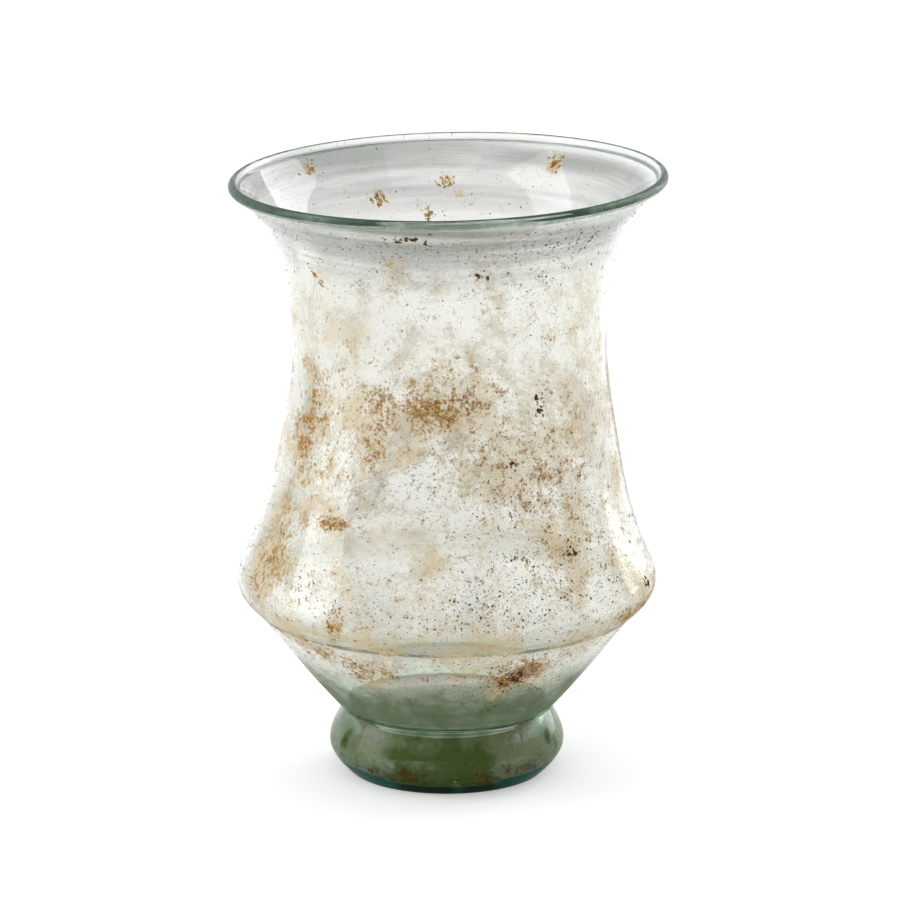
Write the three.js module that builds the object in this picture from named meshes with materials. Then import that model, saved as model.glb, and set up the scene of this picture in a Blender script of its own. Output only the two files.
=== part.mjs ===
// Footed glass beaker with a flared rim, a drawn-in waist and a low sharp shoulder.
// One blown bowl, a foot worked on under it, the scar of the rod that held it, and the
// burial crusts that still cling to the glass. Millimetres, +Z up, standing on z = 0.

import * as THREE from 'three';
import { mergeVertices } from 'three/addons/utils/BufferGeometryUtils.js';

// Outside of the bowl, from the neck above the foot up to the middle of the rim
const neckHeight = 13.7;
const neckRadius = 21.7;
const coneRise = 21.3;
const coneOverhang = 17.6;
const shoulderRise = 6;
const shoulderOverhang = 4.1;
const bodyRise = 50;
const waistRadius = 32.35;
const flareRise = 34;
const rimRadius = 45;
const rimRollRadius = 1.03;

// Thickness of the bowl's wall
const wallAtNeck = 2.2;
const wallAtCrease = 1.6;
const wallAtShoulder = 1.5;
const wallAtWaist = 1.2;
const wallAtRim = 1.3;

// Floor of the bowl
const floorThickness = 2.55;
const floorKick = 0.8;
const floorFlatRadius = 15;
const floorCornerRise = 2.4;
const floorDrop = 0.6;

// Foot
const bellyHeight = 6.3;
const footSwell = 2.7;
const footTuck = 4.2;
const footWall = 2.4;
const wornRingWidth = 1.5;

// Scar under the floor
const scarRadius = 5.5;
const scarDepth = 0.6;

// Crusts and clearances
const seatGap = 0.3;
const soilThickness = 0.6;
const soilStart = 1.9;
const soilEnd = 9.2;
const crustThickness = 0.55;
const weldDistance = 0.0001;

// How far the blown bowl strays from a true turned shape
const waistLean = 0.65;
const rimLean = 0.3;
const rimTilt = 1;

// Fineness of the turned surfaces, of their lines and of the crusts
const turnSteps = 48;
const coneSteps = 4;
const bodySteps = [4, 4, 5, 3];
const flareSteps = [4, 3, 3];
const beadSteps = 12;
const cornerSteps = 5;
const kickSteps = 3;
const footSteps = { outside: [6, 5], seat: 4, inside: [5, 4] };
const soilSteps = 40;
const soilLineSteps = 7;
const scarSteps = 24;
const crustSpokes = 14;
const crustRings = 3;

// Slopes of the outside line, as shares of each stretch's own overhang over its rise
const coneSlopeShares = { bottom: 1.15, top: 1 };
const shoulderSlopeShare = 1.83;
const footSlopeShares = { bottom: 1.65, top: 1.42 };
const footInsideSlopeShare = 0.8;

// Stations on a stretch: share of its rise, share of its overhang, and slope share there
const bodyStationShares = [[0.1, 0.13, 2.08], [0.56, 0.743, 0.81]];
const flareStationShares = [[0.588, 0.178, 0.78], [0.8, 0.462, 2.15]];
const rimSlopeShare = 3.2;

// Where the foot's seat ends along the bowl's round bottom, and how the bottom is drawn
const seatEndShare = 0.55;
const bottomCornerShares = { radius: 0.63, height: 0.32 };
const rimBiteLimitShare = 0.9;
const scarWaveShare = 0.12;
const scarHollowShare = 0.45;
const soilThinShare = 0.45;

// Heights and radii that follow from the sizes above
const creaseHeight = neckHeight + coneRise;
const creaseRadius = neckRadius + coneOverhang;
const shoulderHeight = creaseHeight + shoulderRise;
const shoulderRadius = creaseRadius + shoulderOverhang;
const waistHeight = shoulderHeight + bodyRise;
const rimHeight = waistHeight + flareRise;
const floorHeight = neckHeight - floorDrop;
const bellyRadius = neckRadius + footSwell;
const wornOuterRadius = bellyRadius - footTuck;
const wornInnerRadius = wornOuterRadius - wornRingWidth;

// A place on a line, with the radius that the line gains there for each step up
const station = (radius, height, slope) => ({ radius, height, slope });

// A smooth stretch of line between two stations
function stretch(from, to, steps) {
  const third = (to.height - from.height) / 3;
  const curve = new THREE.CubicBezierCurve(
    new THREE.Vector2(from.radius, from.height),
    new THREE.Vector2(from.radius + from.slope * third, from.height + third),
    new THREE.Vector2(to.radius - to.slope * third, to.height - third),
    new THREE.Vector2(to.radius, to.height),
  );
  return curve.getPoints(steps);
}

// Several stretches in a row, each with its own number of steps
function line(stations, steps) {
  const points = [new THREE.Vector2(stations[0].radius, stations[0].height)];
  steps.forEach((count, i) => points.push(...stretch(stations[i], stations[i + 1], count).slice(1)));
  return points;
}

// Stations given as shares of a rise and of an overhang that starts from a radius and a height
function sharedStations(shares, radius, height, overhang, rise) {
  return shares.map(([up, out, slope]) =>
    station(radius + out * overhang, height + up * rise, (slope * overhang) / rise));
}

// Radius of a line at a height
function radiusAt(points, height) {
  const next = points.findIndex((point) => point.y >= height);
  if (next <= 0) return points[next === 0 ? 0 : points.length - 1].x;
  const low = points[next - 1];
  const high = points[next];
  return THREE.MathUtils.mapLinear(height, low.y, high.y, low.x, high.x);
}

// A line's points moved square to it, towards the axis where the distance is positive
function movedInward(points, distanceAt) {
  return points.map((point, i) => {
    const before = points[Math.max(i - 1, 0)];
    const after = points[Math.min(i + 1, points.length - 1)];
    const along = after.clone().sub(before).normalize();
    const inward = new THREE.Vector2(-along.y, along.x);
    return point.clone().addScaledVector(inward, distanceAt(point.y));
  });
}

// Rim: a round bead whose middle lies on the wall's own middle line
const flareSlope = (rimSlopeShare * (rimRadius - waistRadius)) / flareRise;
const rimCentre = new THREE.Vector2(rimRadius - rimRollRadius, rimHeight);
const rimLeanAngle = Math.atan2(1, flareSlope);
const rimBite = Math.asin(Math.min(wallAtRim / (2 * rimRollRadius), rimBiteLimitShare));
const bead = Array.from({ length: beadSteps + 1 }, (_, i) => {
  const open = Math.PI - rimBite;
  const angle = rimLeanAngle + THREE.MathUtils.lerp(-open, open, i / beadSteps);
  const spoke = new THREE.Vector2(Math.cos(angle), Math.sin(angle));
  return rimCentre.clone().addScaledVector(spoke, rimRollRadius);
});

// Outside line of the bowl, from the neck to the underside of the rim bead
const coneSlope = coneOverhang / coneRise;
const bodyDrop = waistRadius - shoulderRadius;
const flareReach = rimRadius - waistRadius;
const outsideLine = line(
  [
    station(neckRadius, neckHeight, coneSlopeShares.bottom * coneSlope),
    station(creaseRadius, creaseHeight, coneSlopeShares.top * coneSlope),
  ],
  [coneSteps],
).concat(
  line(
    [
      station(creaseRadius, creaseHeight, (shoulderSlopeShare * shoulderOverhang) / shoulderRise),
      station(shoulderRadius, shoulderHeight, 0),
      ...sharedStations(bodyStationShares, shoulderRadius, shoulderHeight, bodyDrop, bodyRise),
      station(waistRadius, waistHeight, 0),
      ...sharedStations(flareStationShares, waistRadius, waistHeight, flareReach, flareRise),
      station(bead[0].x, bead[0].y, flareSlope),
    ],
    [...bodySteps, ...flareSteps],
  ).slice(1),
);

// Wall thickness at a height, eased between the named places
function wallAt(height) {
  const places = [
    [neckHeight, wallAtNeck],
    [creaseHeight, wallAtCrease],
    [shoulderHeight, wallAtShoulder],
    [waistHeight, wallAtWaist],
    [rimHeight, wallAtRim],
  ];
  const next = Math.max(places.findIndex(([top]) => top >= height), 1);
  const [low, thin] = places[next - 1];
  const [high, thick] = places[next];
  return THREE.MathUtils.lerp(thin, thick, THREE.MathUtils.smoothstep(height, low, high));
}

// Inside line of the bowl, from the floor's corner to the inner side of the rim bead
const insideLine = movedInward(outsideLine, wallAt)
  .filter((point) => point.y > floorHeight + floorCornerRise && point.y < bead.at(-1).y - wallAtRim);

// Floor: the corner where it meets the wall, a flat stretch and a low kick in the middle
function floorLine(edge, corner, flatRadius, height) {
  const flat = new THREE.Vector2(flatRadius, height);
  const centre = new THREE.Vector2(0, height + floorKick);
  const crown = new THREE.Vector2(flatRadius / 2, height + floorKick);
  const turn = new THREE.QuadraticBezierCurve(edge, corner, flat);
  const kick = new THREE.QuadraticBezierCurve(flat, crown, centre);
  return { turn, points: [...turn.getPoints(cornerSteps), ...kick.getPoints(kickSteps).slice(1)] };
}

const innerCorner = new THREE.Vector2(
  THREE.MathUtils.lerp(floorFlatRadius, insideLine[0].x, bottomCornerShares.radius), floorHeight);
const floorTop = floorLine(insideLine[0], innerCorner, floorFlatRadius, floorHeight);
const bottomHeight = floorHeight - floorThickness;
const outerCorner = new THREE.Vector2(
  THREE.MathUtils.lerp(floorFlatRadius, neckRadius, bottomCornerShares.radius),
  THREE.MathUtils.lerp(bottomHeight, neckHeight, bottomCornerShares.height),
);
const floorUnder = floorLine(outsideLine[0], outerCorner, floorFlatRadius, bottomHeight);

// Foot: outside line, seat under the bowl's round bottom, and inside line
const footTop = station(neckRadius, neckHeight - seatGap,
  (-footSlopeShares.top * footSwell) / (neckHeight - bellyHeight));
const footOutside = line(
  [
    station(wornOuterRadius, 0, (footSlopeShares.bottom * footTuck) / bellyHeight),
    station(bellyRadius, bellyHeight, 0),
    footTop,
  ],
  footSteps.outside,
);
const lowered = (point) => new THREE.Vector2(point.x, point.y - seatGap);
const footSeat = Array.from({ length: footSteps.seat + 1 }, (_, i) =>
  lowered(floorUnder.turn.getPoint((seatEndShare * i) / footSteps.seat)));
const seatEnd = footSeat.at(-1);
const insideBellyRadius = bellyRadius - footWall;
const footInside = line(
  [
    station(wornInnerRadius, 0, 0),
    station(insideBellyRadius, bellyHeight, 0),
    station(seatEnd.x, seatEnd.y,
      (-footInsideSlopeShare * (insideBellyRadius - seatEnd.x)) / (seatEnd.y - bellyHeight)),
  ],
  footSteps.inside,
);

// A closed mesh: welded along its seam and at the axis, without triangles of no area
function closed(geometry) {
  geometry.deleteAttribute('normal');
  geometry.deleteAttribute('uv');
  const welded = mergeVertices(geometry, weldDistance);
  const corners = Array.from(welded.index.array);
  const kept = [];
  for (let i = 0; i < corners.length; i += 3) {
    const [a, b, c] = corners.slice(i, i + 3);
    if (a !== b && b !== c && c !== a) kept.push(a, b, c);
  }
  welded.setIndex(kept);
  return welded;
}

// A profile turned about the Z axis
function turned(profile, steps) {
  const lathe = new THREE.LatheGeometry(profile, steps);
  lathe.rotateX(Math.PI / 2);
  return closed(lathe);
}

// Move each vertex of a geometry by a function of its place
function reshaped(geometry, moved) {
  const place = geometry.attributes.position;
  for (let i = 0; i < place.count; i += 1) {
    const point = moved(new THREE.Vector3().fromBufferAttribute(place, i));
    place.setXYZ(i, point.x, point.y, point.z);
  }
  geometry.computeVertexNormals();
  return geometry;
}

// The blower's hand: the body leans a little to one side and the rim isn't quite level
function blown(point) {
  const up = THREE.MathUtils.smoothstep(point.z, shoulderHeight, rimHeight);
  const level = THREE.MathUtils.smoothstep(point.z, waistHeight, rimHeight);
  point.x += waistLean * Math.sin(Math.PI * up) + rimLean * level;
  point.z += (rimTilt * level * point.x) / rimRadius;
  return point;
}

// Scar: a low wavy pad with a hollow in it, broken off under the floor's middle
function scar() {
  const roof = floorUnder.points.filter((point) => point.x < floorFlatRadius).map(lowered).reverse();
  const roofAt = (radius) => {
    const next = Math.max(roof.findIndex((point) => point.x >= radius), 1);
    const [low, high] = [roof[next - 1], roof[next]];
    return THREE.MathUtils.mapLinear(radius, low.x, high.x, low.y, high.y);
  };
  const edge = scarRadius * (1 - scarWaveShare);
  const hollow = edge * scarHollowShare;
  const under = (radius, depth) => new THREE.Vector2(radius, roofAt(radius) - depth);
  const profile = [
    under(0, scarDepth * (1 - scarHollowShare)),
    under(hollow, scarDepth * (1 - scarHollowShare)),
    under((edge + hollow) / 2, scarDepth),
    under(edge, scarDepth * scarHollowShare),
    under(hollow, 0),
    under(0, 0),
  ];
  return reshaped(turned(profile, scarSteps), (point) => {
    const wave = 1 + scarWaveShare * Math.cos(3 * Math.atan2(point.y, point.x));
    point.x *= wave;
    point.y *= wave;
    return point;
  });
}

// Soil baked onto the inside of the foot, thickest at the front and thin at the back
function soil() {
  const heights = Array.from({ length: soilLineSteps + 1 }, (_, i) =>
    THREE.MathUtils.lerp(soilStart, soilEnd, i / soilLineSteps));
  const backing = heights.map((height) => new THREE.Vector2(radiusAt(footInside, height), height));
  const seat = movedInward(backing, () => seatGap);
  const face = movedInward(backing, () => seatGap + soilThickness).slice(1, -1);
  const profile = [...seat, ...face.reverse(), seat[0]];
  return reshaped(turned(profile, soilSteps), (point) => {
    const radius = Math.hypot(point.x, point.y);
    const seatRadius = radiusAt(seat, point.z);
    const front = (1 - point.y / radius) / 2;
    const kept = THREE.MathUtils.lerp(soilThinShare, 1, front);
    const next = radius < seatRadius ? THREE.MathUtils.lerp(seatRadius, radius, kept) : radius;
    point.x *= next / radius;
    point.y *= next / radius;
    return point;
  });
}

// A flake of crust: a thin lens that follows the wall, with an outline of its own
function crust({ wall, side, turn, upShare, wideShare, tallShare, outlineShares }) {
  const middle = THREE.MathUtils.degToRad(turn);
  const height = THREE.MathUtils.lerp(neckHeight, rimHeight, upShare);
  const halfWidth = wideShare * rimRadius;
  const halfTall = tallShare * rimRadius;
  const vertices = [];
  const put = (spoke, ring, lift) => {
    const angle = (2 * Math.PI * spoke) / crustSpokes;
    const share = outlineShares[spoke % outlineShares.length] * (ring / crustRings);
    const level = height + share * Math.sin(angle) * halfTall;
    const radius = radiusAt(wall, level);
    const azimuth = middle + (share * Math.cos(angle) * halfWidth) / radius;
    const stand = radius + side * (seatGap + lift);
    vertices.push(new THREE.Vector3(stand * Math.cos(azimuth), stand * Math.sin(azimuth), level));
    return vertices.length - 1;
  };
  const layer = (thickness) => {
    const rings = [Array(crustSpokes).fill(put(0, 0, thickness))];
    for (let ring = 1; ring < crustRings; ring += 1) {
      const lift = thickness * Math.sqrt(1 - (ring / crustRings) ** 2);
      rings.push(Array.from({ length: crustSpokes }, (_, spoke) => put(spoke, ring, lift)));
    }
    return rings;
  };
  const edge = Array.from({ length: crustSpokes }, (_, spoke) => put(spoke, crustRings, 0));
  const faces = [];
  const weave = (rings, flip) => {
    for (let ring = 0; ring + 1 < rings.length; ring += 1) {
      for (let spoke = 0; spoke < crustSpokes; spoke += 1) {
        const beside = (spoke + 1) % crustSpokes;
        const [a, b] = [rings[ring][spoke], rings[ring][beside]];
        const [c, d] = [rings[ring + 1][beside], rings[ring + 1][spoke]];
        const pair = flip ? [[a, c, d], [a, b, c]] : [[a, d, c], [a, c, b]];
        pair.filter((face) => new Set(face).size === 3).forEach((face) => faces.push(...face));
      }
    }
  };
  const facesOut = side > 0;
  weave([...layer(crustThickness), edge], !facesOut);
  weave([...layer(0), edge], facesOut);
  const geometry = new THREE.BufferGeometry();
  const places = vertices.flatMap((point) => point.toArray());
  geometry.setAttribute('position', new THREE.Float32BufferAttribute(places, 3));
  geometry.setIndex(faces);
  return geometry;
}

// Where each flake of crust lies: the wall it clings to and its turn about the axis in
// degrees from +X. Its height is a share of the way from the neck to the rim, and its half
// width and half height are shares of the rim's radius.
const inner = { wall: insideLine, side: -1 };
const outer = { wall: outsideLine, side: 1 };
const crusts = [
  {
    name: 'rear_wall_crust', ...inner, turn: 95, color: 0x9a7448,
    upShare: 0.48, wideShare: 0.145, tallShare: 0.12,
    outlineShares: [0.9, 1, 0.85, 0.95, 0.8, 0.9, 0.75, 0.9, 1, 0.85, 0.95, 0.8, 0.95, 0.85],
  },
  {
    name: 'rear_left_crust', ...inner, turn: 116, color: 0xa27a4e,
    upShare: 0.525, wideShare: 0.09, tallShare: 0.065,
    outlineShares: [1, 0.85, 0.9, 0.8, 1, 0.85, 0.9],
  },
  {
    name: 'left_wall_crust', ...inner, turn: 164, color: 0x9d7a52,
    upShare: 0.515, wideShare: 0.1, tallShare: 0.165,
    outlineShares: [0.85, 1, 0.9, 0.8, 1, 0.9, 0.8],
  },
  {
    name: 'left_shoulder_crust', ...inner, turn: 156, color: 0x8d6b45,
    upShare: 0.28, wideShare: 0.11, tallShare: 0.065,
    outlineShares: [1, 0.8, 0.9, 1, 0.85, 0.95, 0.8],
  },
  {
    name: 'right_wall_crust', ...outer, turn: -57, color: 0x4c3a26,
    upShare: 0.63, wideShare: 0.05, tallShare: 0.085,
    outlineShares: [0.8, 0.9, 1, 0.85, 0.8, 1, 0.9],
  },
  {
    name: 'cone_crust', ...outer, turn: -67, color: 0x6f5836,
    upShare: 0.13, wideShare: 0.1, tallShare: 0.065,
    outlineShares: [0.9, 1, 0.8, 0.85, 1, 0.8, 0.9],
  },
  {
    name: 'rim_crust', ...outer, turn: -102, color: 0x3f3424,
    upShare: 0.968, wideShare: 0.09, tallShare: 0.027,
    outlineShares: [1, 0.85, 0.9, 0.8, 1, 0.9, 0.85],
  },
];

// Put a geometry in its own named mesh, with its own material
function piece(name, geometry, color, roughness, opacity = 1) {
  const material = new THREE.MeshStandardMaterial({ color, roughness, metalness: 0 });
  material.transparent = opacity < 1;
  material.opacity = opacity;
  const mesh = new THREE.Mesh(geometry, material);
  mesh.name = name;
  return mesh;
}

const bowlProfile = [
  ...floorUnder.points.slice().reverse(),
  ...outsideLine.slice(1),
  ...bead.slice(1),
  ...insideLine.slice().reverse(),
  ...floorTop.points.slice(1),
];
const footProfile = [
  ...footOutside,
  ...footSeat.slice(1),
  ...footInside.slice(0, -1).reverse(),
  footOutside[0],
];

const beaker = new THREE.Group();
beaker.add(
  piece('bowl', reshaped(turned(bowlProfile, turnSteps), blown), 0xd3d6c6, 0.12, 0.35),
  piece('foot', turned(footProfile, turnSteps), 0x8fa893, 0.15, 0.45),
  piece('pontil_scar', scar(), 0x9db3a2, 0.3, 0.6),
  piece('foot_soil', soil(), 0x7d7050, 0.95),
  ...crusts.map((flake) => piece(flake.name, reshaped(crust(flake), blown), flake.color, 0.95)),
);

export default beaker;
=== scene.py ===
"""Dresses the footed glass beaker: its glass, its weathering, its crusts and the studio."""

import logging
import math
from collections.abc import Callable
from dataclasses import dataclass, field
from enum import Enum

import bmesh
import bpy
import numpy as np
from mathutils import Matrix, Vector, noise


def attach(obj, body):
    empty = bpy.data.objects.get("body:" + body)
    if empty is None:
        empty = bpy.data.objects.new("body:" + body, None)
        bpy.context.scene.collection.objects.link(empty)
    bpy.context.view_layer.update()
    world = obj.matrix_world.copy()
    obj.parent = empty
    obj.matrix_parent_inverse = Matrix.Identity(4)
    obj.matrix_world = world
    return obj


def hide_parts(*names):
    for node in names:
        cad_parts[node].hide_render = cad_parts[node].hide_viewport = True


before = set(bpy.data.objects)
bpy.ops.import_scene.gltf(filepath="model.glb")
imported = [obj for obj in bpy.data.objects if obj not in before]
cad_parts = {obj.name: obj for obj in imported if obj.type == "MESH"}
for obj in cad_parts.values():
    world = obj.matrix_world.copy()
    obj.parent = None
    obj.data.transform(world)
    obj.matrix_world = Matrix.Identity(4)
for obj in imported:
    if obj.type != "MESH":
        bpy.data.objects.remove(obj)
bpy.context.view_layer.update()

log = logging.getLogger("beaker")

MM = 0.001
ON_AXIS = 1e-9
Spot = tuple[float, float]
Line = list[Spot]
Point = tuple[float, float, float]
Colour = tuple[float, float, float]
Faces = list[tuple[int, ...]]
Socket = bpy.types.NodeSocket
Sockets = bpy.types.bpy_prop_collection
Fed = Socket | float | tuple[float, ...]
Warp = Callable[[np.ndarray], np.ndarray]


class Side(Enum):
    """Which face of the wall something clings to, as the sign of its step off the wall."""

    INSIDE = -1
    OUTSIDE = 1


def eased(values: np.ndarray, low: float, high: float) -> np.ndarray:
    """Eases an array of values, or one value, from 0 at low to 1 at high."""
    t = np.clip((values - low) / (high - low), 0, 1)
    return t * t * (3 - 2 * t)


@dataclass(frozen=True)
class Fade:
    """A stretch over which something sets in or fades out, in millimetres from a given place."""

    start: float
    end: float

    def into(self, values: np.ndarray, base: float = 0.0) -> np.ndarray:
        """Gives 0 before the stretch and 1 past it."""
        return eased(values, base + self.start * MM, base + self.end * MM)

    def out(self, values: np.ndarray, base: float = 0.0) -> np.ndarray:
        """Gives 1 before the stretch and 0 past it."""
        return 1 - self.into(values, base)


@dataclass(frozen=True)
class Gain:
    """A number that starts at a base and grows with something else."""

    base: float
    growth: float

    def on(self, values: np.ndarray) -> np.ndarray:
        """Gives the base with the growth for each value."""
        return self.base + self.growth * values


@dataclass(frozen=True)
class Hump:
    """A soft ridge of strength round a height, in millimetres."""

    middle: float
    half_width: float

    def on(self, heights: np.ndarray, base: float = 0.0) -> np.ndarray:
        """Gives 1 on the ridge's middle line and 0 far from it."""
        return np.exp(-(((heights - base - self.middle * MM) / (self.half_width * MM)) ** 2))


# Turned lines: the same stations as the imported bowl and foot, drawn finely


@dataclass(frozen=True)
class Station:
    """A place on a turned line, and the radius that the line gains there for each step up."""

    radius: float
    height: float
    slope: float


def stretch(low: Station, high: Station, steps: int) -> Line:
    """Draws a smooth stretch of line between two stations.

    Args:
        low: The station where the stretch starts.
        high: The station where it ends.
        steps: How many steps the stretch is cut into.

    Returns:
        The points from low to high, both included.
    """
    rise = high.height - low.height
    points = []
    for i in range(steps + 1):
        t = i / steps
        radius = (
            (2 * t**3 - 3 * t**2 + 1) * low.radius
            + (t**3 - 2 * t**2 + t) * rise * low.slope
            + (3 * t**2 - 2 * t**3) * high.radius
            + (t**3 - t**2) * rise * high.slope
        )
        points.append((radius, low.height + t * rise))
    return points


def line_through(stations: list[Station], step: float) -> Line:
    """Draws the stretches between several stations.

    Args:
        stations: The stations, in order.
        step: About how far apart the points are.

    Returns:
        The points from the first station to the last.
    """
    points: Line = [(stations[0].radius, stations[0].height)]
    for low, high in zip(stations, stations[1:]):
        length = math.hypot(high.radius - low.radius, high.height - low.height)
        points += stretch(low, high, max(2, round(length / step)))[1:]
    return points


def bend(start: Spot, corner: Spot, end: Spot, steps: int) -> Line:
    """Draws a quadratic bend.

    Args:
        start: Where the bend starts.
        corner: The place that it heads for.
        end: Where it ends.
        steps: How many steps it is cut into.

    Returns:
        The points from start to end, both included.
    """
    points = []
    for i in range(steps + 1):
        t = i / steps
        points.append(tuple(
            (1 - t) ** 2 * a + 2 * t * (1 - t) * b + t**2 * c
            for a, b, c in zip(start, corner, end)
        ))
    return points


def moved_inward(line: Line, distances: list[float]) -> Line:
    """Moves a line's points square to it.

    Args:
        line: The points.
        distances: How far each point moves, positive towards the axis on a line that climbs.

    Returns:
        The moved points.
    """
    moved = []
    for i, (radius, height) in enumerate(line):
        before, after = line[max(i - 1, 0)], line[min(i + 1, len(line) - 1)]
        along = Vector((after[0] - before[0], after[1] - before[1])).normalized()
        moved.append((radius - along.y * distances[i], height + along.x * distances[i]))
    return moved


def radius_at(line: Line, height: float) -> float:
    """Gives the radius of a line that climbs, at a height."""
    return float(np.interp(height, [p[1] for p in line], [p[0] for p in line]))


@dataclass
class BowlShape:
    """The sizes of the blown bowl, in metres, and the lines that they draw."""

    neck_height: float = 13.7 * MM
    neck_radius: float = 21.7 * MM
    neck_slope_share: float = 1.15
    cone_rise: float = 21.3 * MM
    cone_overhang: float = 17.6 * MM
    shoulder_rise: float = 6 * MM
    shoulder_overhang: float = 4.1 * MM
    shoulder_slope_share: float = 1.83
    body_rise: float = 50 * MM
    body_shares: tuple[Point, ...] = ((0.1, 0.13, 2.08), (0.56, 0.743, 0.81))
    waist_radius: float = 32.35 * MM
    flare_rise: float = 34 * MM
    flare_shares: tuple[Point, ...] = ((0.588, 0.178, 0.78), (0.8, 0.462, 2.15))
    flare_slope_share: float = 3.2
    rim_radius: float = 45 * MM
    bead_radius: float = 1.03 * MM
    bead_steps: int = 28
    walls: tuple[float, ...] = (1.1 * MM, 1.05 * MM, 1.0 * MM, 1.1 * MM, 1.3 * MM)
    floor_thickness: float = 2.55 * MM
    floor_kick: float = 0.8 * MM
    floor_flat_radius: float = 15 * MM
    floor_corner_rise: float = 1.1 * MM
    floor_corner_share: float = 0.63
    floor_under_share: float = 0.32
    floor_corner_steps: int = 14
    floor_crown_steps: int = 12
    floor_drop: float = 0.6 * MM
    waist_lean: float = 0.65 * MM
    rim_lean: float = 0.3 * MM
    rim_tilt: float = 1 * MM
    step: float = 0.7 * MM
    groove_depth: float = 0.08 * MM
    groove_width: float = 0.7 * MM

    @property
    def crease_height(self) -> float:
        """Height of the crease under the shoulder."""
        return self.neck_height + self.cone_rise

    @property
    def shoulder_height(self) -> float:
        """Height of the widest place of the shoulder."""
        return self.crease_height + self.shoulder_rise

    @property
    def waist_height(self) -> float:
        """Height of the narrowest place of the body."""
        return self.shoulder_height + self.body_rise

    @property
    def rim_height(self) -> float:
        """Height of the middle of the rim's bead."""
        return self.waist_height + self.flare_rise

    @property
    def floor_height(self) -> float:
        """Height of the floor inside, where it is flat."""
        return self.neck_height - self.floor_drop

    @property
    def flare_slope(self) -> float:
        """Radius that the flare gains for each step up at the rim."""
        return self.flare_slope_share * (self.rim_radius - self.waist_radius) / self.flare_rise

    def shared(self, shares: tuple[Point, ...], start: Station, run: float, rise: float) -> list[Station]:
        """Places stations given as shares of a rise and a run.

        Args:
            shares: Share of the rise, share of the run and slope share of each station.
            start: The station that the rise and the run are counted from.
            run: The radius gained over the whole rise.
            rise: The height gained.

        Returns:
            The stations, in order.
        """
        return [
            Station(start.radius + out * run, start.height + up * rise, slope * run / rise)
            for up, out, slope in shares
        ]

    def bead(self) -> Line:
        """Draws the rim's round bead.

        Returns:
            The points from the wall's outer face over the top to its inner face.
        """
        lean = math.atan2(1, self.flare_slope)
        bite = math.asin(self.walls[-1] / (2 * self.bead_radius))
        middle_radius = self.rim_radius - self.bead_radius
        points = []
        for i in range(self.bead_steps + 1):
            angle = lean + (math.pi - bite) * (2 * i / self.bead_steps - 1)
            points.append((
                middle_radius + self.bead_radius * math.cos(angle),
                self.rim_height + self.bead_radius * math.sin(angle),
            ))
        return points

    def outside(self) -> Line:
        """Draws the outer face.

        Returns:
            The points from the neck to the underside of the rim's bead.
        """
        cone_slope = self.cone_overhang / self.cone_rise
        crease_radius = self.neck_radius + self.cone_overhang
        shoulder = Station(crease_radius + self.shoulder_overhang, self.shoulder_height, 0)
        waist = Station(self.waist_radius, self.waist_height, 0)
        top = self.bead()[0]
        cone = line_through([
            Station(self.neck_radius, self.neck_height, self.neck_slope_share * cone_slope),
            Station(crease_radius, self.crease_height, cone_slope),
        ], self.step)
        under = self.shoulder_slope_share * self.shoulder_overhang / self.shoulder_rise
        body = line_through([
            Station(crease_radius, self.crease_height, under),
            shoulder,
            *self.shared(self.body_shares, shoulder, waist.radius - shoulder.radius, self.body_rise),
            waist,
            *self.shared(self.flare_shares, waist, self.rim_radius - waist.radius, self.flare_rise),
            Station(top[0], top[1], self.flare_slope),
        ], self.step)
        return self.grooved(cone + body[1:])

    def grooved(self, line: Line) -> Line:
        """Sinks the narrow tooled groove that runs along the crease.

        Args:
            line: The outer face.

        Returns:
            The outer face with its groove.
        """
        grooved = []
        for radius, height in line:
            away = (height - self.crease_height) / self.groove_width
            grooved.append((radius - self.groove_depth * math.exp(-(away**2)), height))
        return grooved

    def wall_at(self, height: float) -> float:
        """Gives the wall's thickness at a height.

        Args:
            height: The height.

        Returns:
            The thickness, eased between those of the neck, crease, shoulder, waist and rim.
        """
        places = [self.neck_height, self.crease_height, self.shoulder_height,
                  self.waist_height, self.rim_height]
        above = next((i for i in range(1, len(places)) if height <= places[i]), len(places) - 1)
        ease = eased(height, places[above - 1], places[above])
        return self.walls[above - 1] + (self.walls[above] - self.walls[above - 1]) * float(ease)

    def inside(self) -> Line:
        """Draws the inner face.

        Returns:
            The points from the floor's corner to the inner side of the bead.
        """
        outer = self.outside()
        inner = moved_inward(outer, [self.wall_at(height) for _, height in outer])
        low = self.floor_height + self.floor_corner_rise
        high = self.bead()[-1][1] - self.step / 2
        return [p for p in inner if low < p[1] < high]

    def floor(self, edge: Spot, corner_height: float, height: float) -> Line:
        """Draws one face of the floor.

        Args:
            edge: Where the floor leaves the wall.
            corner_height: The height that the corner's bend heads for.
            height: The height of the floor where it is flat.

        Returns:
            The points from the wall to the axis.
        """
        corner = self.floor_flat_radius + self.floor_corner_share * (edge[0] - self.floor_flat_radius)
        flat = (self.floor_flat_radius, height)
        crown = (self.floor_flat_radius / 2, height + self.floor_kick)
        return (bend(edge, (corner, corner_height), flat, self.floor_corner_steps)
                + bend(flat, crown, (0.0, crown[1]), self.floor_crown_steps)[1:])

    def floor_top(self) -> Line:
        """Draws the floor's upper face."""
        return self.floor(self.inside()[0], self.floor_height, self.floor_height)

    def floor_under(self) -> Line:
        """Draws the floor's under face.

        Returns:
            The points from the neck to the axis.
        """
        low = self.floor_height - self.floor_thickness
        rise = low + self.floor_under_share * (self.neck_height - low)
        return self.floor((self.neck_radius, self.neck_height), rise, low)

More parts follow.
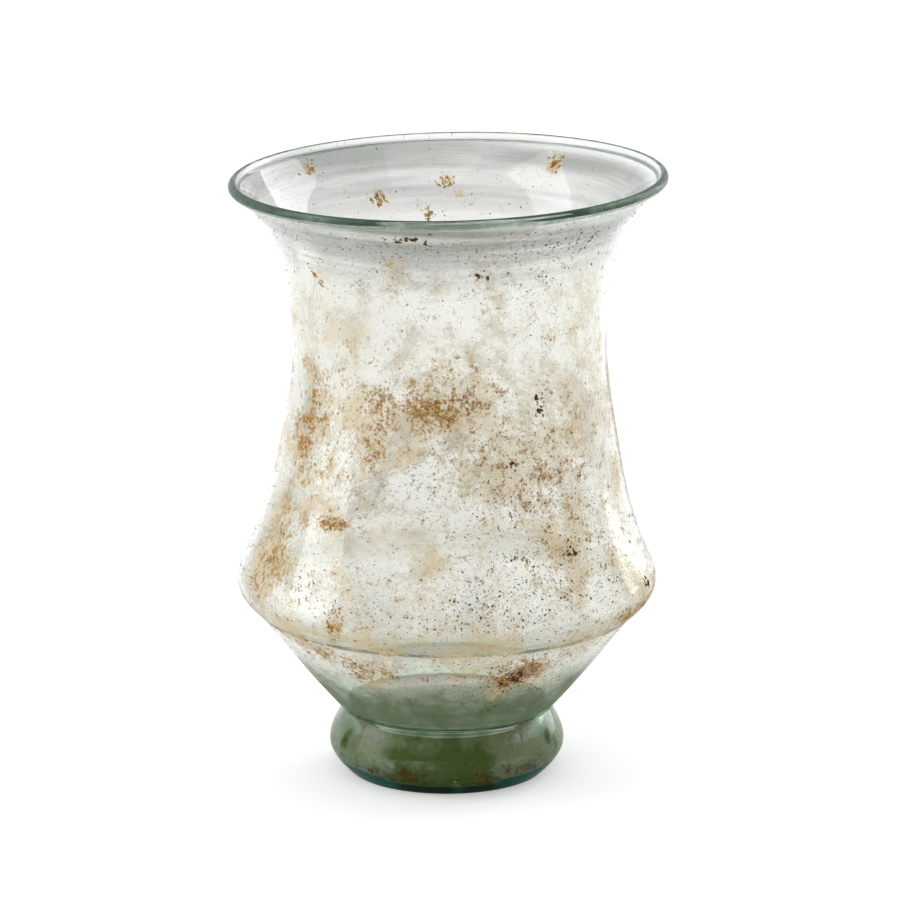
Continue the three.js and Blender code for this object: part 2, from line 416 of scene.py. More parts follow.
    def blown(self, points: np.ndarray) -> np.ndarray:
        """Leans the body and tilts the rim, as the blower's hand left them.

        Args:
            points: The vertices of something on the bowl.

        Returns:
            The moved vertices.
        """
        up = eased(points[:, 2], self.shoulder_height, self.rim_height)
        level = eased((points[:, 2] - self.waist_height) / self.flare_rise, 0, 1)
        made = points.copy()
        made[:, 0] += self.waist_lean * np.sin(np.pi * up) + self.rim_lean * level
        made[:, 2] += self.rim_tilt * level * made[:, 0] / self.rim_radius
        return made


@dataclass
class FootShape:
    """The sizes of the hollow foot, in metres, and the lines that they draw."""

    belly_height: float = 6.3 * MM
    swell: float = 2.7 * MM
    tuck: float = 4.2 * MM
    wall: float = 2.4 * MM
    worn_width: float = 1.5 * MM
    ring_slope_share: float = 1.65
    neck_slope_share: float = 1.42
    inner_slope_share: float = 0.8
    seat_gap: float = 0.04 * MM
    seat_share: float = 0.55
    scar_radius: float = 5.5 * MM
    scar_depth: float = 0.6 * MM
    soil_gap: float = 0.06 * MM
    soil_thickness: float = 0.12 * MM
    soil_start: float = 1.9 * MM
    soil_end: float = 9.2 * MM
    step: float = 0.5 * MM

    def outside(self, bowl: BowlShape) -> Line:
        """Draws the outer face.

        Args:
            bowl: The bowl that the foot carries.

        Returns:
            The points from the worn ring to the neck.
        """
        belly = bowl.neck_radius + self.swell
        top = bowl.neck_height - self.seat_gap
        ring_slope = self.ring_slope_share * self.tuck / self.belly_height
        neck_slope = -self.neck_slope_share * self.swell / (bowl.neck_height - self.belly_height)
        return line_through([
            Station(belly - self.tuck, 0.0, ring_slope),
            Station(belly, self.belly_height, 0),
            Station(bowl.neck_radius, top, neck_slope),
        ], self.step)

    def seat(self, bowl: BowlShape) -> Line:
        """Draws the face that meets the bowl's round bottom, from the neck inwards."""
        turn = bowl.floor_under()[: bowl.floor_corner_steps + 1]
        return [(r, h - self.seat_gap) for r, h in turn[: round(self.seat_share * len(turn)) + 1]]

    def inside(self, bowl: BowlShape) -> Line:
        """Draws the inner face.

        Args:
            bowl: The bowl that the foot carries.

        Returns:
            The points from the worn ring up to the seat's inner end.
        """
        belly = bowl.neck_radius + self.swell - self.wall
        ring = bowl.neck_radius + self.swell - self.tuck - self.worn_width
        end = self.seat(bowl)[-1]
        end_slope = -self.inner_slope_share * (belly - end[0]) / (end[1] - self.belly_height)
        return line_through([
            Station(ring, 0.0, 0),
            Station(belly, self.belly_height, 0),
            Station(end[0], end[1], end_slope),
        ], self.step)


# Meshes


def mesh_object(name: str, vertices: np.ndarray, faces: Faces) -> bpy.types.Object:
    """Makes a smooth mesh object at the origin, in the scene's collection.

    Args:
        name: The name of the object and its mesh.
        vertices: The vertices, in metres.
        faces: The faces, as vertex numbers.

    Returns:
        The object.
    """
    mesh = bpy.data.meshes.new(name)
    mesh.from_pydata([tuple(v) for v in vertices], [], faces)
    mesh.validate()
    mesh.shade_smooth()
    made = bpy.data.objects.new(name, mesh)
    bpy.context.scene.collection.objects.link(made)
    return made


def turned_grid(line: Line, around: int) -> tuple[np.ndarray, Faces]:
    """Turns a profile about the axis.

    Args:
        line: The profile, in the order that keeps the solid on its left.
        around: How many steps go round.

    Returns:
        The vertices and the faces, with one vertex for each end that lies on the axis.
    """
    vertices: list[Point] = []
    rings: list[list[int]] = []
    for radius, height in line:
        if radius < ON_AXIS:
            rings.append([len(vertices)] * around)
            vertices.append((0.0, 0.0, height))
            continue
        rings.append([len(vertices) + i for i in range(around)])
        for i in range(around):
            angle = 2 * math.pi * i / around
            vertices.append((radius * math.cos(angle), radius * math.sin(angle), height))
    faces = []
    for low, high in zip(rings, rings[1:]):
        for i in range(around):
            j = (i + 1) % around
            face = list(dict.fromkeys((low[i], low[j], high[j], high[i])))
            if len(face) > 2:
                faces.append(tuple(face))
    return np.array(vertices), faces


def turned(name: str, line: Line, around: int, warp: Warp | None = None, ring: bool = False
           ) -> bpy.types.Object:
    """Makes a closed turned solid.

    Args:
        name: The object's name.
        line: The profile. It starts and ends on the axis, or closes on itself.
        around: How many steps go round.
        warp: A function that moves the vertices, or None.
        ring: True where the profile closes on itself.

    Returns:
        The object, with its faces pointing out.
    """
    vertices, faces = turned_grid(line + line[:1] if ring else line, around)
    if ring:
        count = len(vertices) - around
        faces = [tuple(i % count for i in face) for face in faces]
        vertices = vertices[:count]
    if warp is not None:
        vertices = warp(vertices)
    return mesh_object(name, vertices, faces)


def points_of(piece: bpy.types.Object) -> np.ndarray:
    """Gives the places of a piece's vertices, one row for each."""
    return np.array([v.co for v in piece.data.vertices])


def set_attributes(piece: bpy.types.Object, **values: np.ndarray | float) -> None:
    """Stores numbers for each vertex that a material can read.

    Args:
        piece: The piece whose mesh takes them.
        **values: One number for each vertex, or one for all, by attribute name.
    """
    for name, given in values.items():
        attribute = piece.data.attributes.new(name, "FLOAT", "POINT")
        spread = np.broadcast_to(given, len(piece.data.vertices))
        attribute.data.foreach_set("value", spread.astype(np.float32))


# Shader nodes


class NodeSheet:
    """A node tree that is filled one node at a time."""

    def __init__(self, tree: bpy.types.NodeTree) -> None:
        """Empties the tree."""
        self.tree = tree
        tree.nodes.clear()

    def add(self, kind: str, settings: dict[str, str | bool | bpy.types.NodeTree] | None = None,
            **inputs: Fed) -> bpy.types.Node:
        """Adds a node.

        Args:
            kind: The node's type name.
            settings: Values for the node's own properties.
            **inputs: Values or sockets for its inputs, by name with _ for a space.

        Returns:
            The node.
        """
        node = self.tree.nodes.new(kind)
        for name, value in (settings or {}).items():
            setattr(node, name, value)
        for name, value in inputs.items():
            self.feed(node, name.replace("_", " "), value)
        return node

    def feed(self, node: bpy.types.Node, name: str | int, value: Fed) -> None:
        """Links a socket to an input, or sets the input's own value.

        Args:
            node: The node that is fed.
            name: The input's name or number.
            value: The socket or the value. A colour may leave out its fourth number.
        """
        target = node.inputs[name]
        if isinstance(value, Socket):
            self.tree.links.new(value, target)
        elif target.type == "RGBA" and len(value) == 3:
            target.default_value = (*value, 1.0)
        else:
            target.default_value = value

    def math(self, operation: str, a: Fed, b: Fed = 0.0, clamp: bool = False) -> Socket:
        """Adds a Math node.

        Args:
            operation: The node's operation.
            a: The first value.
            b: The second value.
            clamp: True to keep the result between 0 and 1.

        Returns:
            The result.
        """
        node = self.add("ShaderNodeMath", {"operation": operation, "use_clamp": clamp})
        self.feed(node, 0, a)
        self.feed(node, 1, b)
        return node.outputs[0]

    def step(self, value: Fed, low: Fed, high: Fed, to_low: Fed = 0.0, to_high: Fed = 1.0) -> Socket:
        """Eases a value from one range to another.

        Args:
            value: The value.
            low: The value that becomes to_low.
            high: The value that becomes to_high.
            to_low: What low becomes.
            to_high: What high becomes.

        Returns:
            The result.
        """
        node = self.add("ShaderNodeMapRange", {"interpolation_type": "SMOOTHSTEP"}, Value=value,
                        From_Min=low, From_Max=high, To_Min=to_low, To_Max=to_high)
        return node.outputs["Result"]

    def mix(self, share: Fed, first: Fed, second: Fed) -> Socket:
        """Mixes two colours.

        Args:
            share: The share of the second colour.
            first: The first colour.
            second: The second colour.

        Returns:
            The mixed colour.
        """
        node = self.add("ShaderNodeMix", {"data_type": "RGBA"})
        for index, value in ((0, share), (6, first), (7, second)):
            self.feed(node, index, value)
        return node.outputs[2]

    def blend(self, first: Socket, second: Socket, share: float) -> Socket:
        """Adds two patterns, with a share of the second."""
        return self.math("ADD", self.math("MULTIPLY", first, 1 - share), self.math("MULTIPLY", second, share))

    def place(self) -> Socket:
        """Gives Object coordinates."""
        return self.add("ShaderNodeTexCoord").outputs["Object"]

    def attribute(self, name: str) -> Socket:
        """Gives a number stored on the mesh."""
        return self.add("ShaderNodeAttribute", {"attribute_name": name}).outputs["Fac"]


def new_material(name: str) -> tuple[bpy.types.Material, NodeSheet]:
    """Makes an empty material.

    Args:
        name: The material's name.

    Returns:
        The material and the sheet that its nodes go on.
    """
    material = bpy.data.materials.new(name)
    material.use_nodes = True
    return material, NodeSheet(material.node_tree)


@dataclass(frozen=True)
class Mottle:
    """A noise pattern: its scale, detail, roughness and twist, and how it is stretched."""

    scale: float
    detail: float = 3.0
    rough: float = 0.55
    twist: float = 0.0
    stretched: Point | None = None

    def on(self, sheet: NodeSheet, place: Socket) -> Socket:
        """Lays the pattern.

        Args:
            sheet: The sheet that its nodes go on.
            place: The place that the pattern is read at.

        Returns:
            The pattern's value.
        """
        if self.stretched is not None:
            place = sheet.add("ShaderNodeMapping", Vector=place, Scale=self.stretched).outputs[0]
        node = sheet.add("ShaderNodeTexNoise", Vector=place, Scale=self.scale, Detail=self.detail,
                         Roughness=self.rough, Distortion=self.twist)
        return node.outputs["Fac"]


class Effect:
    """A shader node group that several materials use, each with its own values."""

    name: str = ""
    numbers: dict[str, float] = {}
    tones: dict[str, Colour] = {}
    results: dict[str, str] = {}

    def __init__(self) -> None:
        """Builds the group once, with its named inputs and outputs."""
        self.tree = bpy.data.node_groups.new(self.name, "ShaderNodeTree")
        face = self.tree.interface
        face.new_socket(name="Place", in_out="INPUT", socket_type="NodeSocketVector")
        for name, value in self.numbers.items():
            socket = face.new_socket(name=name, in_out="INPUT", socket_type="NodeSocketFloat")
            socket.default_value = value
        for name, tone in self.tones.items():
            socket = face.new_socket(name=name, in_out="INPUT", socket_type="NodeSocketColor")
            socket.default_value = (*tone, 1)
        for name, kind in self.results.items():
            face.new_socket(name=name, in_out="OUTPUT", socket_type=kind)
        sheet = NodeSheet(self.tree)
        self.fill(sheet, sheet.add("NodeGroupInput").outputs)

    def fill(self, sheet: NodeSheet, given: Sockets) -> None:
        """Lays the effect's nodes on the sheet of the group's tree, from the sockets that it is given."""
        raise NotImplementedError

    def use(self, sheet: NodeSheet, **inputs: Fed) -> Sockets:
        """Places the group, feeds its inputs by name, with _ for a space, and gives its outputs."""
        return sheet.add("ShaderNodeGroup", {"node_tree": self.tree}, **inputs).outputs


@dataclass(frozen=True)
class Layer:
    """A layer of weathering: its colour, the patterns that shape it and how readily it covers."""

    colour: Colour
    first: str
    second: str
    share: float
    pushed_by: str
    push: float
    level: float
    width: float
    strength: float


@dataclass(frozen=True)
class Sprinkle:
    """Dark dots of one size: their colour, how fine and how rare they are, and where they crowd."""

    colour: Colour
    scale: float
    rarity: float
    crowding: str
    strength: float


class WeatheringAndPaintedLight(Effect):
    """Old weathering: haze, milk, murk, stains and dark pepper; and painted light and shade: the dark green
    depth of thick glass, painted highlights in its brighter tone and painted edge lines.
    """

    name = "weathering_and_painted_light"
    # Deep, Line and Gleam say where the painted depth, the painted edge line and the painted highlights lie
    numbers = {"Stain": 0.2, "Grit": 0.3, "Veil": 0.15, "Softness": 0.0, "Milk": 0.0, "Murk": 0.0,
               "Silt": 0.0, "Cover": 1.0, "Deep": 0.0, "Line": 0.0, "Gleam": 0.0,
               "Least Deep": 0.6, "Dullness": 0.7}
    tones = {"Warm": (0.76, 0.67, 0.48), "Cool": (0.80, 0.785, 0.71),
             "Thin Murk": (0.36, 0.42, 0.31), "Thick Murk": (0.13, 0.19, 0.10),
             "Silt Tone": (0.07, 0.05, 0.012),
             # Deep Tone paints the dark look of light in thick glass, Bright Tone paints highlights on it and
             # Line Tone paints an edge line
             "Deep Tone": (0.10, 0.185, 0.125), "Bright Tone": (0.24, 0.36, 0.28),
             "Line Tone": (0.02, 0.045, 0.034)}
    results = {"Colour": "NodeSocketColor", "Cover": "NodeSocketFloat", "Roughness": "NodeSocketFloat"}

    milk_colour: Colour = (0.86, 0.84, 0.79)
    beige_colour: Colour = (0.77, 0.61, 0.35)
    tan_colour: Colour = (0.53, 0.33, 0.05)
    rust_colour: Colour = (0.34, 0.125, 0.011)
    umber_colour: Colour = (0.09, 0.033, 0.007)
    pepper_colour: Colour = (0.045, 0.019, 0.005)
    soft_colour: Colour = (0.98, 0.91, 0.78)

    mottles = {
        "clouds": Mottle(85, 4, 0.6, 0.3),
        "clumps": Mottle(250, 7, 0.66, 0.25),
        "dabs": Mottle(900, 5, 0.7, 0.2),
        "flecks": Mottle(1800, 3, 0.65),
        "grain": Mottle(3200, 2, 0.6),
        "strokes": Mottle(700, 4, 0.62, 0.2, (1, 1, 0.16)),
        "threads": Mottle(420, 4, 0.6),
        "gleams": Mottle(90, 3, 0.6, 0.0, (1, 1, 0.4)),
    }
    layers = (
        Layer(milk_colour, "strokes", "clumps", 0.45, "Milk", 0.2, 0.75, 0.10, 0.18),
        Layer(beige_colour, "clouds", "ragged", 0.5, "Stain", 0.16, 0.50, 0.12, 0.45),
        Layer(tan_colour, "ragged", "", 0, "Stain", 0.15, 0.585, 0.07, 0.64),
        Layer(tan_colour, "flecks", "clumps", 0.5, "Stain", 0.14, 0.615, 0.04, 0.68),
        Layer(rust_colour, "ragged", "flecks", 0.35, "Stain", 0.15, 0.622, 0.045, 0.85),
        Layer(umber_colour, "flecks", "grain", 0.4, "Stain", 0.06, 0.635, 0.03, 0.9),
    )
    sprinkles = (
        Sprinkle(umber_colour, 2300.0, 0.86, "dabs", 0.8),
        Sprinkle(pepper_colour, 1300.0, 0.92, "clumps", 0.9),
    )

    # Where patterns and covers set in: from, to and, where they aren't 0 and 1, what these become
    haze_range = (0.3, 0.72, 0.65, 1.4)
    warm_range = (0.42, 0.6)
    murk_range = (0.35, 0.65, 0.8, 1.2)
    thick_murk_range = (0.3, 0.8)
    silt_range = (0.58, 0.64)
    murk_tone_range = (0.0, 0.35)
    thread_range = (0.36, 0.66, 1.0)
    gleam_range = (0.52, 0.68)
    deep_tone_range = (0.0, 0.3)
    stained_range = (0.35, 0.6, 1.0, 0.15)
    polish_range = (0.1, 0.6)
    crowd_range = (0.38, 0.7, -0.2, 0.25)
    dot_edge_range = (-0.02, 0.05)
    dot_birth_range = (0.0, 0.03)

    warm_share = 0.4
    ragged_share = 0.5
    silt_push = 0.12
    gleam_push = 0.3
    softening = 0.05
    soft_share = 0.8
    grit_push = 0.55
    dot_growth = 0.55
    dot_reach = 0.265
    dot_raggedness = 0.4
    deep_roughness = 0.3

    def fill(self, sheet: NodeSheet, given: Sockets) -> None:
        """Lays the layers of the pattern, each over the last.

        Args:
            sheet: The sheet of the group's tree.
            given: The sockets of the group's inputs.
        """
        patterns = {name: mottle.on(sheet, given["Place"]) for name, mottle in self.mottles.items()}
        patterns["ragged"] = sheet.blend(patterns["clumps"], patterns["dabs"], self.ragged_share)
        colour, cover = self.ground(sheet, given, patterns)
        for layer in self.layers:
            pattern = patterns[layer.first]
            if layer.second:
                pattern = sheet.blend(pattern, patterns[layer.second], layer.share)
            pushed = sheet.math("ADD", pattern, sheet.math("MULTIPLY", given[layer.pushed_by], layer.push))
            wide = sheet.math("ADD", sheet.math("MULTIPLY", given["Softness"], self.softening), layer.width)
            mask = sheet.step(pushed, layer.level, sheet.math("ADD", wide, layer.level))
            colour = sheet.mix(mask, colour, layer.colour)
            cover = sheet.math("MAXIMUM", cover, sheet.math("MULTIPLY", mask, layer.strength))
        # Softness pales the inner skin's colours towards cream: a softer look, partly painted light that
        # makes up for the dimmer light inside the bowl
        soft = sheet.math("MULTIPLY", given["Softness"], self.soft_share)
        colour = sheet.mix(soft, colour, self.soft_colour)
        for sprinkle in self.sprinkles:
            dots = self.dots(sheet, given, patterns, sprinkle)
            colour = sheet.mix(dots, colour, sprinkle.colour)
            cover = sheet.math("MAXIMUM", cover, sheet.math("MULTIPLY", dots, sprinkle.strength))
        cover = sheet.math("MULTIPLY", cover, given["Cover"], clamp=True)
        self.depth(sheet, given, patterns, colour, cover)

    def ground(self, sheet: NodeSheet, given: Sockets, patterns: dict[str, Socket]) -> tuple[Socket, Socket]:
        """Lays the haze and the murk that the stains lie on.

        Args:
            sheet: The sheet of the group's tree.
            given: The sockets of the group's inputs.
            patterns: The patterns, by name.

        Returns:
            The ground's colour and its cover.
        """
        haze = sheet.math("MULTIPLY", given["Veil"], sheet.step(patterns["clouds"], *self.haze_range))
        warm = sheet.blend(patterns["clouds"], patterns["clumps"], self.warm_share)
        warm = sheet.step(warm, *self.warm_range)
        colour = sheet.mix(warm, given["Cool"], given["Warm"])
        uneven = sheet.step(patterns["clumps"], *self.murk_range)
        murk = sheet.math("MULTIPLY", given["Murk"], uneven, clamp=True)
        murky = sheet.mix(sheet.step(murk, *self.thick_murk_range), given["Thin Murk"], given["Thick Murk"])
        silted = sheet.math("ADD", patterns["ragged"], sheet.math("MULTIPLY", given["Silt"], self.silt_push))
        murky = sheet.mix(sheet.step(silted, *self.silt_range), murky, given["Silt Tone"])
        colour = sheet.mix(sheet.step(murk, *self.murk_tone_range), colour, murky)
        return colour, sheet.math("MAXIMUM", haze, murk)

    def depth(self, sheet: NodeSheet, given: Sockets, patterns: dict[str, Socket], colour: Socket,
              cover: Socket) -> None:
        """Lays the painted depth of thick glass, with its painted highlights and its painted edge line, over
        the rest, and puts out the whole.

        Args:
            sheet: The sheet of the group's tree.
            given: The sockets of the group's inputs.
            patterns: The patterns, by name.
            colour: The colour of all that lies below.
            cover: The cover of all that lies below.
        """
        uneven = sheet.step(patterns["threads"], *self.thread_range, given["Least Deep"])
        deep = sheet.math("MULTIPLY", given["Deep"], uneven)
        # Gleams: painted highlights, in the Bright Tone, within the painted depth
        pushed = sheet.math("MULTIPLY", given["Gleam"], self.gleam_push)
        gleams = sheet.step(sheet.math("ADD", patterns["gleams"], pushed), *self.gleam_range)
        tinted = sheet.mix(gleams, given["Deep Tone"], given["Bright Tone"])
        tinted = sheet.mix(given["Line"], tinted, given["Line Tone"])
        share = sheet.math("MULTIPLY", sheet.step(deep, *self.deep_tone_range),
                           sheet.step(cover, *self.stained_range))
        sheet.add("NodeGroupOutput", Colour=sheet.mix(share, colour, tinted),
                  Cover=sheet.math("MAXIMUM", cover, deep),
                  Roughness=sheet.step(deep, *self.polish_range, given["Dullness"], self.deep_roughness))

    def dots(self, sheet: NodeSheet, given: Sockets, patterns: dict[str, Socket],
             sprinkle: Sprinkle) -> Socket:
        """Sprinkles fine dark dots, thick in clumps and where there is grit.

        Args:
            sheet: The sheet of the group's tree.
            given: The sockets of the group's inputs.
            patterns: The patterns, by name.
            sprinkle: The kind of dots.

        Returns:
            A mask, 1 in the dots.
        """
        cells = sheet.add("ShaderNodeTexVoronoi", Vector=given["Place"], Scale=sprinkle.scale)
        chance = sheet.add("ShaderNodeSeparateColor", Color=cells.outputs["Color"]).outputs[0]
        ragged = sheet.math("MULTIPLY", patterns["grain"], self.dot_raggedness)
        near = sheet.math("ADD", cells.outputs["Distance"], ragged)
        crowd = sheet.math("ADD", sheet.math("MULTIPLY", given["Grit"], self.grit_push),
                           sheet.step(patterns[sprinkle.crowding], *self.crowd_range))
        spare = sheet.math("ADD", sheet.math("SUBTRACT", chance, sprinkle.rarity), crowd)
        size = sheet.math("MULTIPLY", spare, self.dot_growth)
        reach = sheet.math("ADD", size, self.dot_reach)
        return sheet.math("MULTIPLY", sheet.step(sheet.math("SUBTRACT", reach, near), *self.dot_edge_range),
                          sheet.step(size, *self.dot_birth_range))


class GlassFlowAndPaintedShade(Effect):
    """The slow unevenness of blown glass and its ripples, with painted light and shade: tinted places that
    paint the dark look of thick glass, and grey rings that paint shade below the rim.
    """

    name = "glass_flow_and_painted_shade"
    numbers = {"Dim": 0.0, "Edge": 0.0}
    # Dim Tone paints grey shade in rings below the rim; Edge Tone paints the dark look of light in thick
    # glass
    tones = {"Clear Tone": (0.93, 0.925, 0.905), "Dim Tone": (0.38, 0.385, 0.37),
             "Edge Tone": (0.45, 0.72, 0.66)}
    results = {"Colour": "NodeSocketColor", "Height": "NodeSocketFloat"}

    streaks = Mottle(60, 2, stretched=(1, 1, 5))
    waves = Mottle(25, 1)
    rings = Mottle(75, 4, 0.6, stretched=(0.25, 0.25, 6))
    ring_range = (0.35, 0.62, 0.45, 1.0)
    streak_share = 0.35

    def fill(self, sheet: NodeSheet, given: Sockets) -> None:
        """Lays the ripples, the rings and the tints.

        Args:
            sheet: The sheet of the group's tree.
            given: The sockets of the group's inputs.
        """
        rings = sheet.step(self.rings.on(sheet, given["Place"]), *self.ring_range)
        dim = sheet.math("MULTIPLY", given["Dim"], rings)
        colour = sheet.mix(dim, given["Clear Tone"], given["Dim Tone"])
        streaks = sheet.math("MULTIPLY", self.streaks.on(sheet, given["Place"]), self.streak_share)
        sheet.add("NodeGroupOutput", Colour=sheet.mix(given["Edge"], colour, given["Edge Tone"]),
                  Height=sheet.math("ADD", streaks, self.waves.on(sheet, given["Place"])))


class CrustGrain(Effect):
    """The mottled, gritty face of baked soil."""

    name = "crust_grain"
    numbers = {"Dullness": 0.92}
    tones = {"Pale Tone": (0.7, 0.44, 0.15), "Deep Tone": (0.42, 0.17, 0.025)}
    results = {"Colour": "NodeSocketColor", "Height": "NodeSocketFloat", "Roughness": "NodeSocketFloat"}

    patches = Mottle(700, 4, 0.6)
    grain = Mottle(4200, 3, 0.65)
    patch_range = (0.42, 0.60)
    grain_range = (0.55, 0.72, 0.0, 0.7)
    polish_range = (0.3, 0.7)
    polish = 0.2

    def fill(self, sheet: NodeSheet, given: Sockets) -> None:
        """Lays the mottles and the grain.

        Args:
            sheet: The sheet of the group's tree.
            given: The sockets of the group's inputs.
        """
        patches = sheet.step(self.patches.on(sheet, given["Place"]), *self.patch_range)
        grain = self.grain.on(sheet, given["Place"])
        colour = sheet.mix(patches, given["Pale Tone"], given["Deep Tone"])
        colour = sheet.mix(sheet.step(grain, *self.grain_range), colour, given["Deep Tone"])
        smooth = sheet.math("SUBTRACT", given["Dullness"], self.polish)
        sheet.add("NodeGroupOutput", Colour=colour, Height=grain,
                  Roughness=sheet.step(grain, *self.polish_range, smooth, given["Dullness"]))


@dataclass(frozen=True)
class GlassFinish:
    """Clear old glass: its tint by thickness, its tinted places, which are painted depth and painted shade,
    its polish and its ripples.
    """

    name: str
    flow: GlassFlowAndPaintedShade
    absorbed: Colour
    edge_colour: Colour
    roughness: float = 0.0
    ripple: float = 0.02
    ripple_height: float = 2 * MM
    index: float = 1.5

    def material(self) -> bpy.types.Material:
        """Builds the glass, which lets lamps through so that what it holds is lit.

        Returns:
            The material.
        """
        material, sheet = new_material(self.name)
        flow = self.flow.use(sheet, Place=sheet.place(), Dim=sheet.attribute("dim"),
                             Edge=sheet.attribute("edge"), Edge_Tone=self.edge_colour)
        bump = sheet.add("ShaderNodeBump", Strength=self.ripple, Distance=self.ripple_height,
                         Height=flow["Height"])
        glass = sheet.add("ShaderNodeBsdfPrincipled", Normal=bump.outputs[0], Base_Color=flow["Colour"],
                          IOR=self.index, Transmission_Weight=1.0, Roughness=self.roughness)
        clear = sheet.add("ShaderNodeBsdfTransparent")
        path = sheet.add("ShaderNodeLightPath")
        lamp = sheet.math("MAXIMUM", path.outputs["Is Shadow Ray"], path.outputs["Is Diffuse Ray"])
        surface = sheet.add("ShaderNodeMixShader")
        for index, value in enumerate((lamp, glass.outputs[0], clear.outputs[0])):
            sheet.feed(surface, index, value)
        most = max(self.absorbed)
        body_colour = tuple(1 - lost / most for lost in self.absorbed)
        body = sheet.add("ShaderNodeVolumeAbsorption", Density=most, Color=body_colour)
        sheet.add("ShaderNodeOutputMaterial", Surface=surface.outputs[0], Volume=body.outputs[0])
        return material


@dataclass(frozen=True)
class FilmFinish:
    """A film of weathering and of painted light and shade, which is as thick and as stained as the piece that
    wears it says.
    """

    name: str
    pattern: WeatheringAndPaintedLight
    tones: dict[str, Colour] = field(default_factory=dict)
    least_deep: float = 0.6
    gloss: float = 0.2
    roughness: float = 0.7

    def material(self) -> bpy.types.Material:
        """Builds the film's material.

        Returns:
            The material.
        """
        material, sheet = new_material(self.name)
        worn = {name: sheet.attribute(name.lower()) for name in (
            "Stain", "Grit", "Veil", "Softness", "Milk", "Murk", "Silt", "Cover", "Deep", "Line", "Gleam")}
        pattern = self.pattern.use(sheet, Place=sheet.place(), Least_Deep=self.least_deep,
                                   Dullness=self.roughness, **self.tones, **worn)
        film = sheet.add("ShaderNodeBsdfPrincipled", Base_Color=pattern["Colour"], Alpha=pattern["Cover"],
                         Roughness=pattern["Roughness"], Specular_IOR_Level=self.gloss)
        sheet.add("ShaderNodeOutputMaterial", Surface=film.outputs[0])
        return material


@dataclass(frozen=True)
class CrustFinish:
    """Baked soil that stands on the glass: its pale body, its rusty core and its rough grain."""

    name: str
    grain: CrustGrain
    pale_colour: Colour
    deep_colour: Colour
    gloss: float = 0.1
    relief: float = 0.6
    relief_height: float = 0.2 * MM

    def material(self) -> bpy.types.Material:
        """Builds the crust's material.

        Returns:
            The material.
        """
        material, sheet = new_material(self.name)
        grain = self.grain.use(sheet, Place=sheet.place(), Pale_Tone=self.pale_colour,
                               Deep_Tone=self.deep_colour)
        bump = sheet.add("ShaderNodeBump", Strength=self.relief, Distance=self.relief_height,
                         Height=grain["Height"])
        crust = sheet.add("ShaderNodeBsdfPrincipled", Base_Color=grain["Colour"], Normal=bump.outputs[0],
                          Roughness=grain["Roughness"], Specular_IOR_Level=self.gloss)
        sheet.add("ShaderNodeOutputMaterial", Surface=crust.outputs[0])
        return material


# Geometry nodes that scatter crumbs


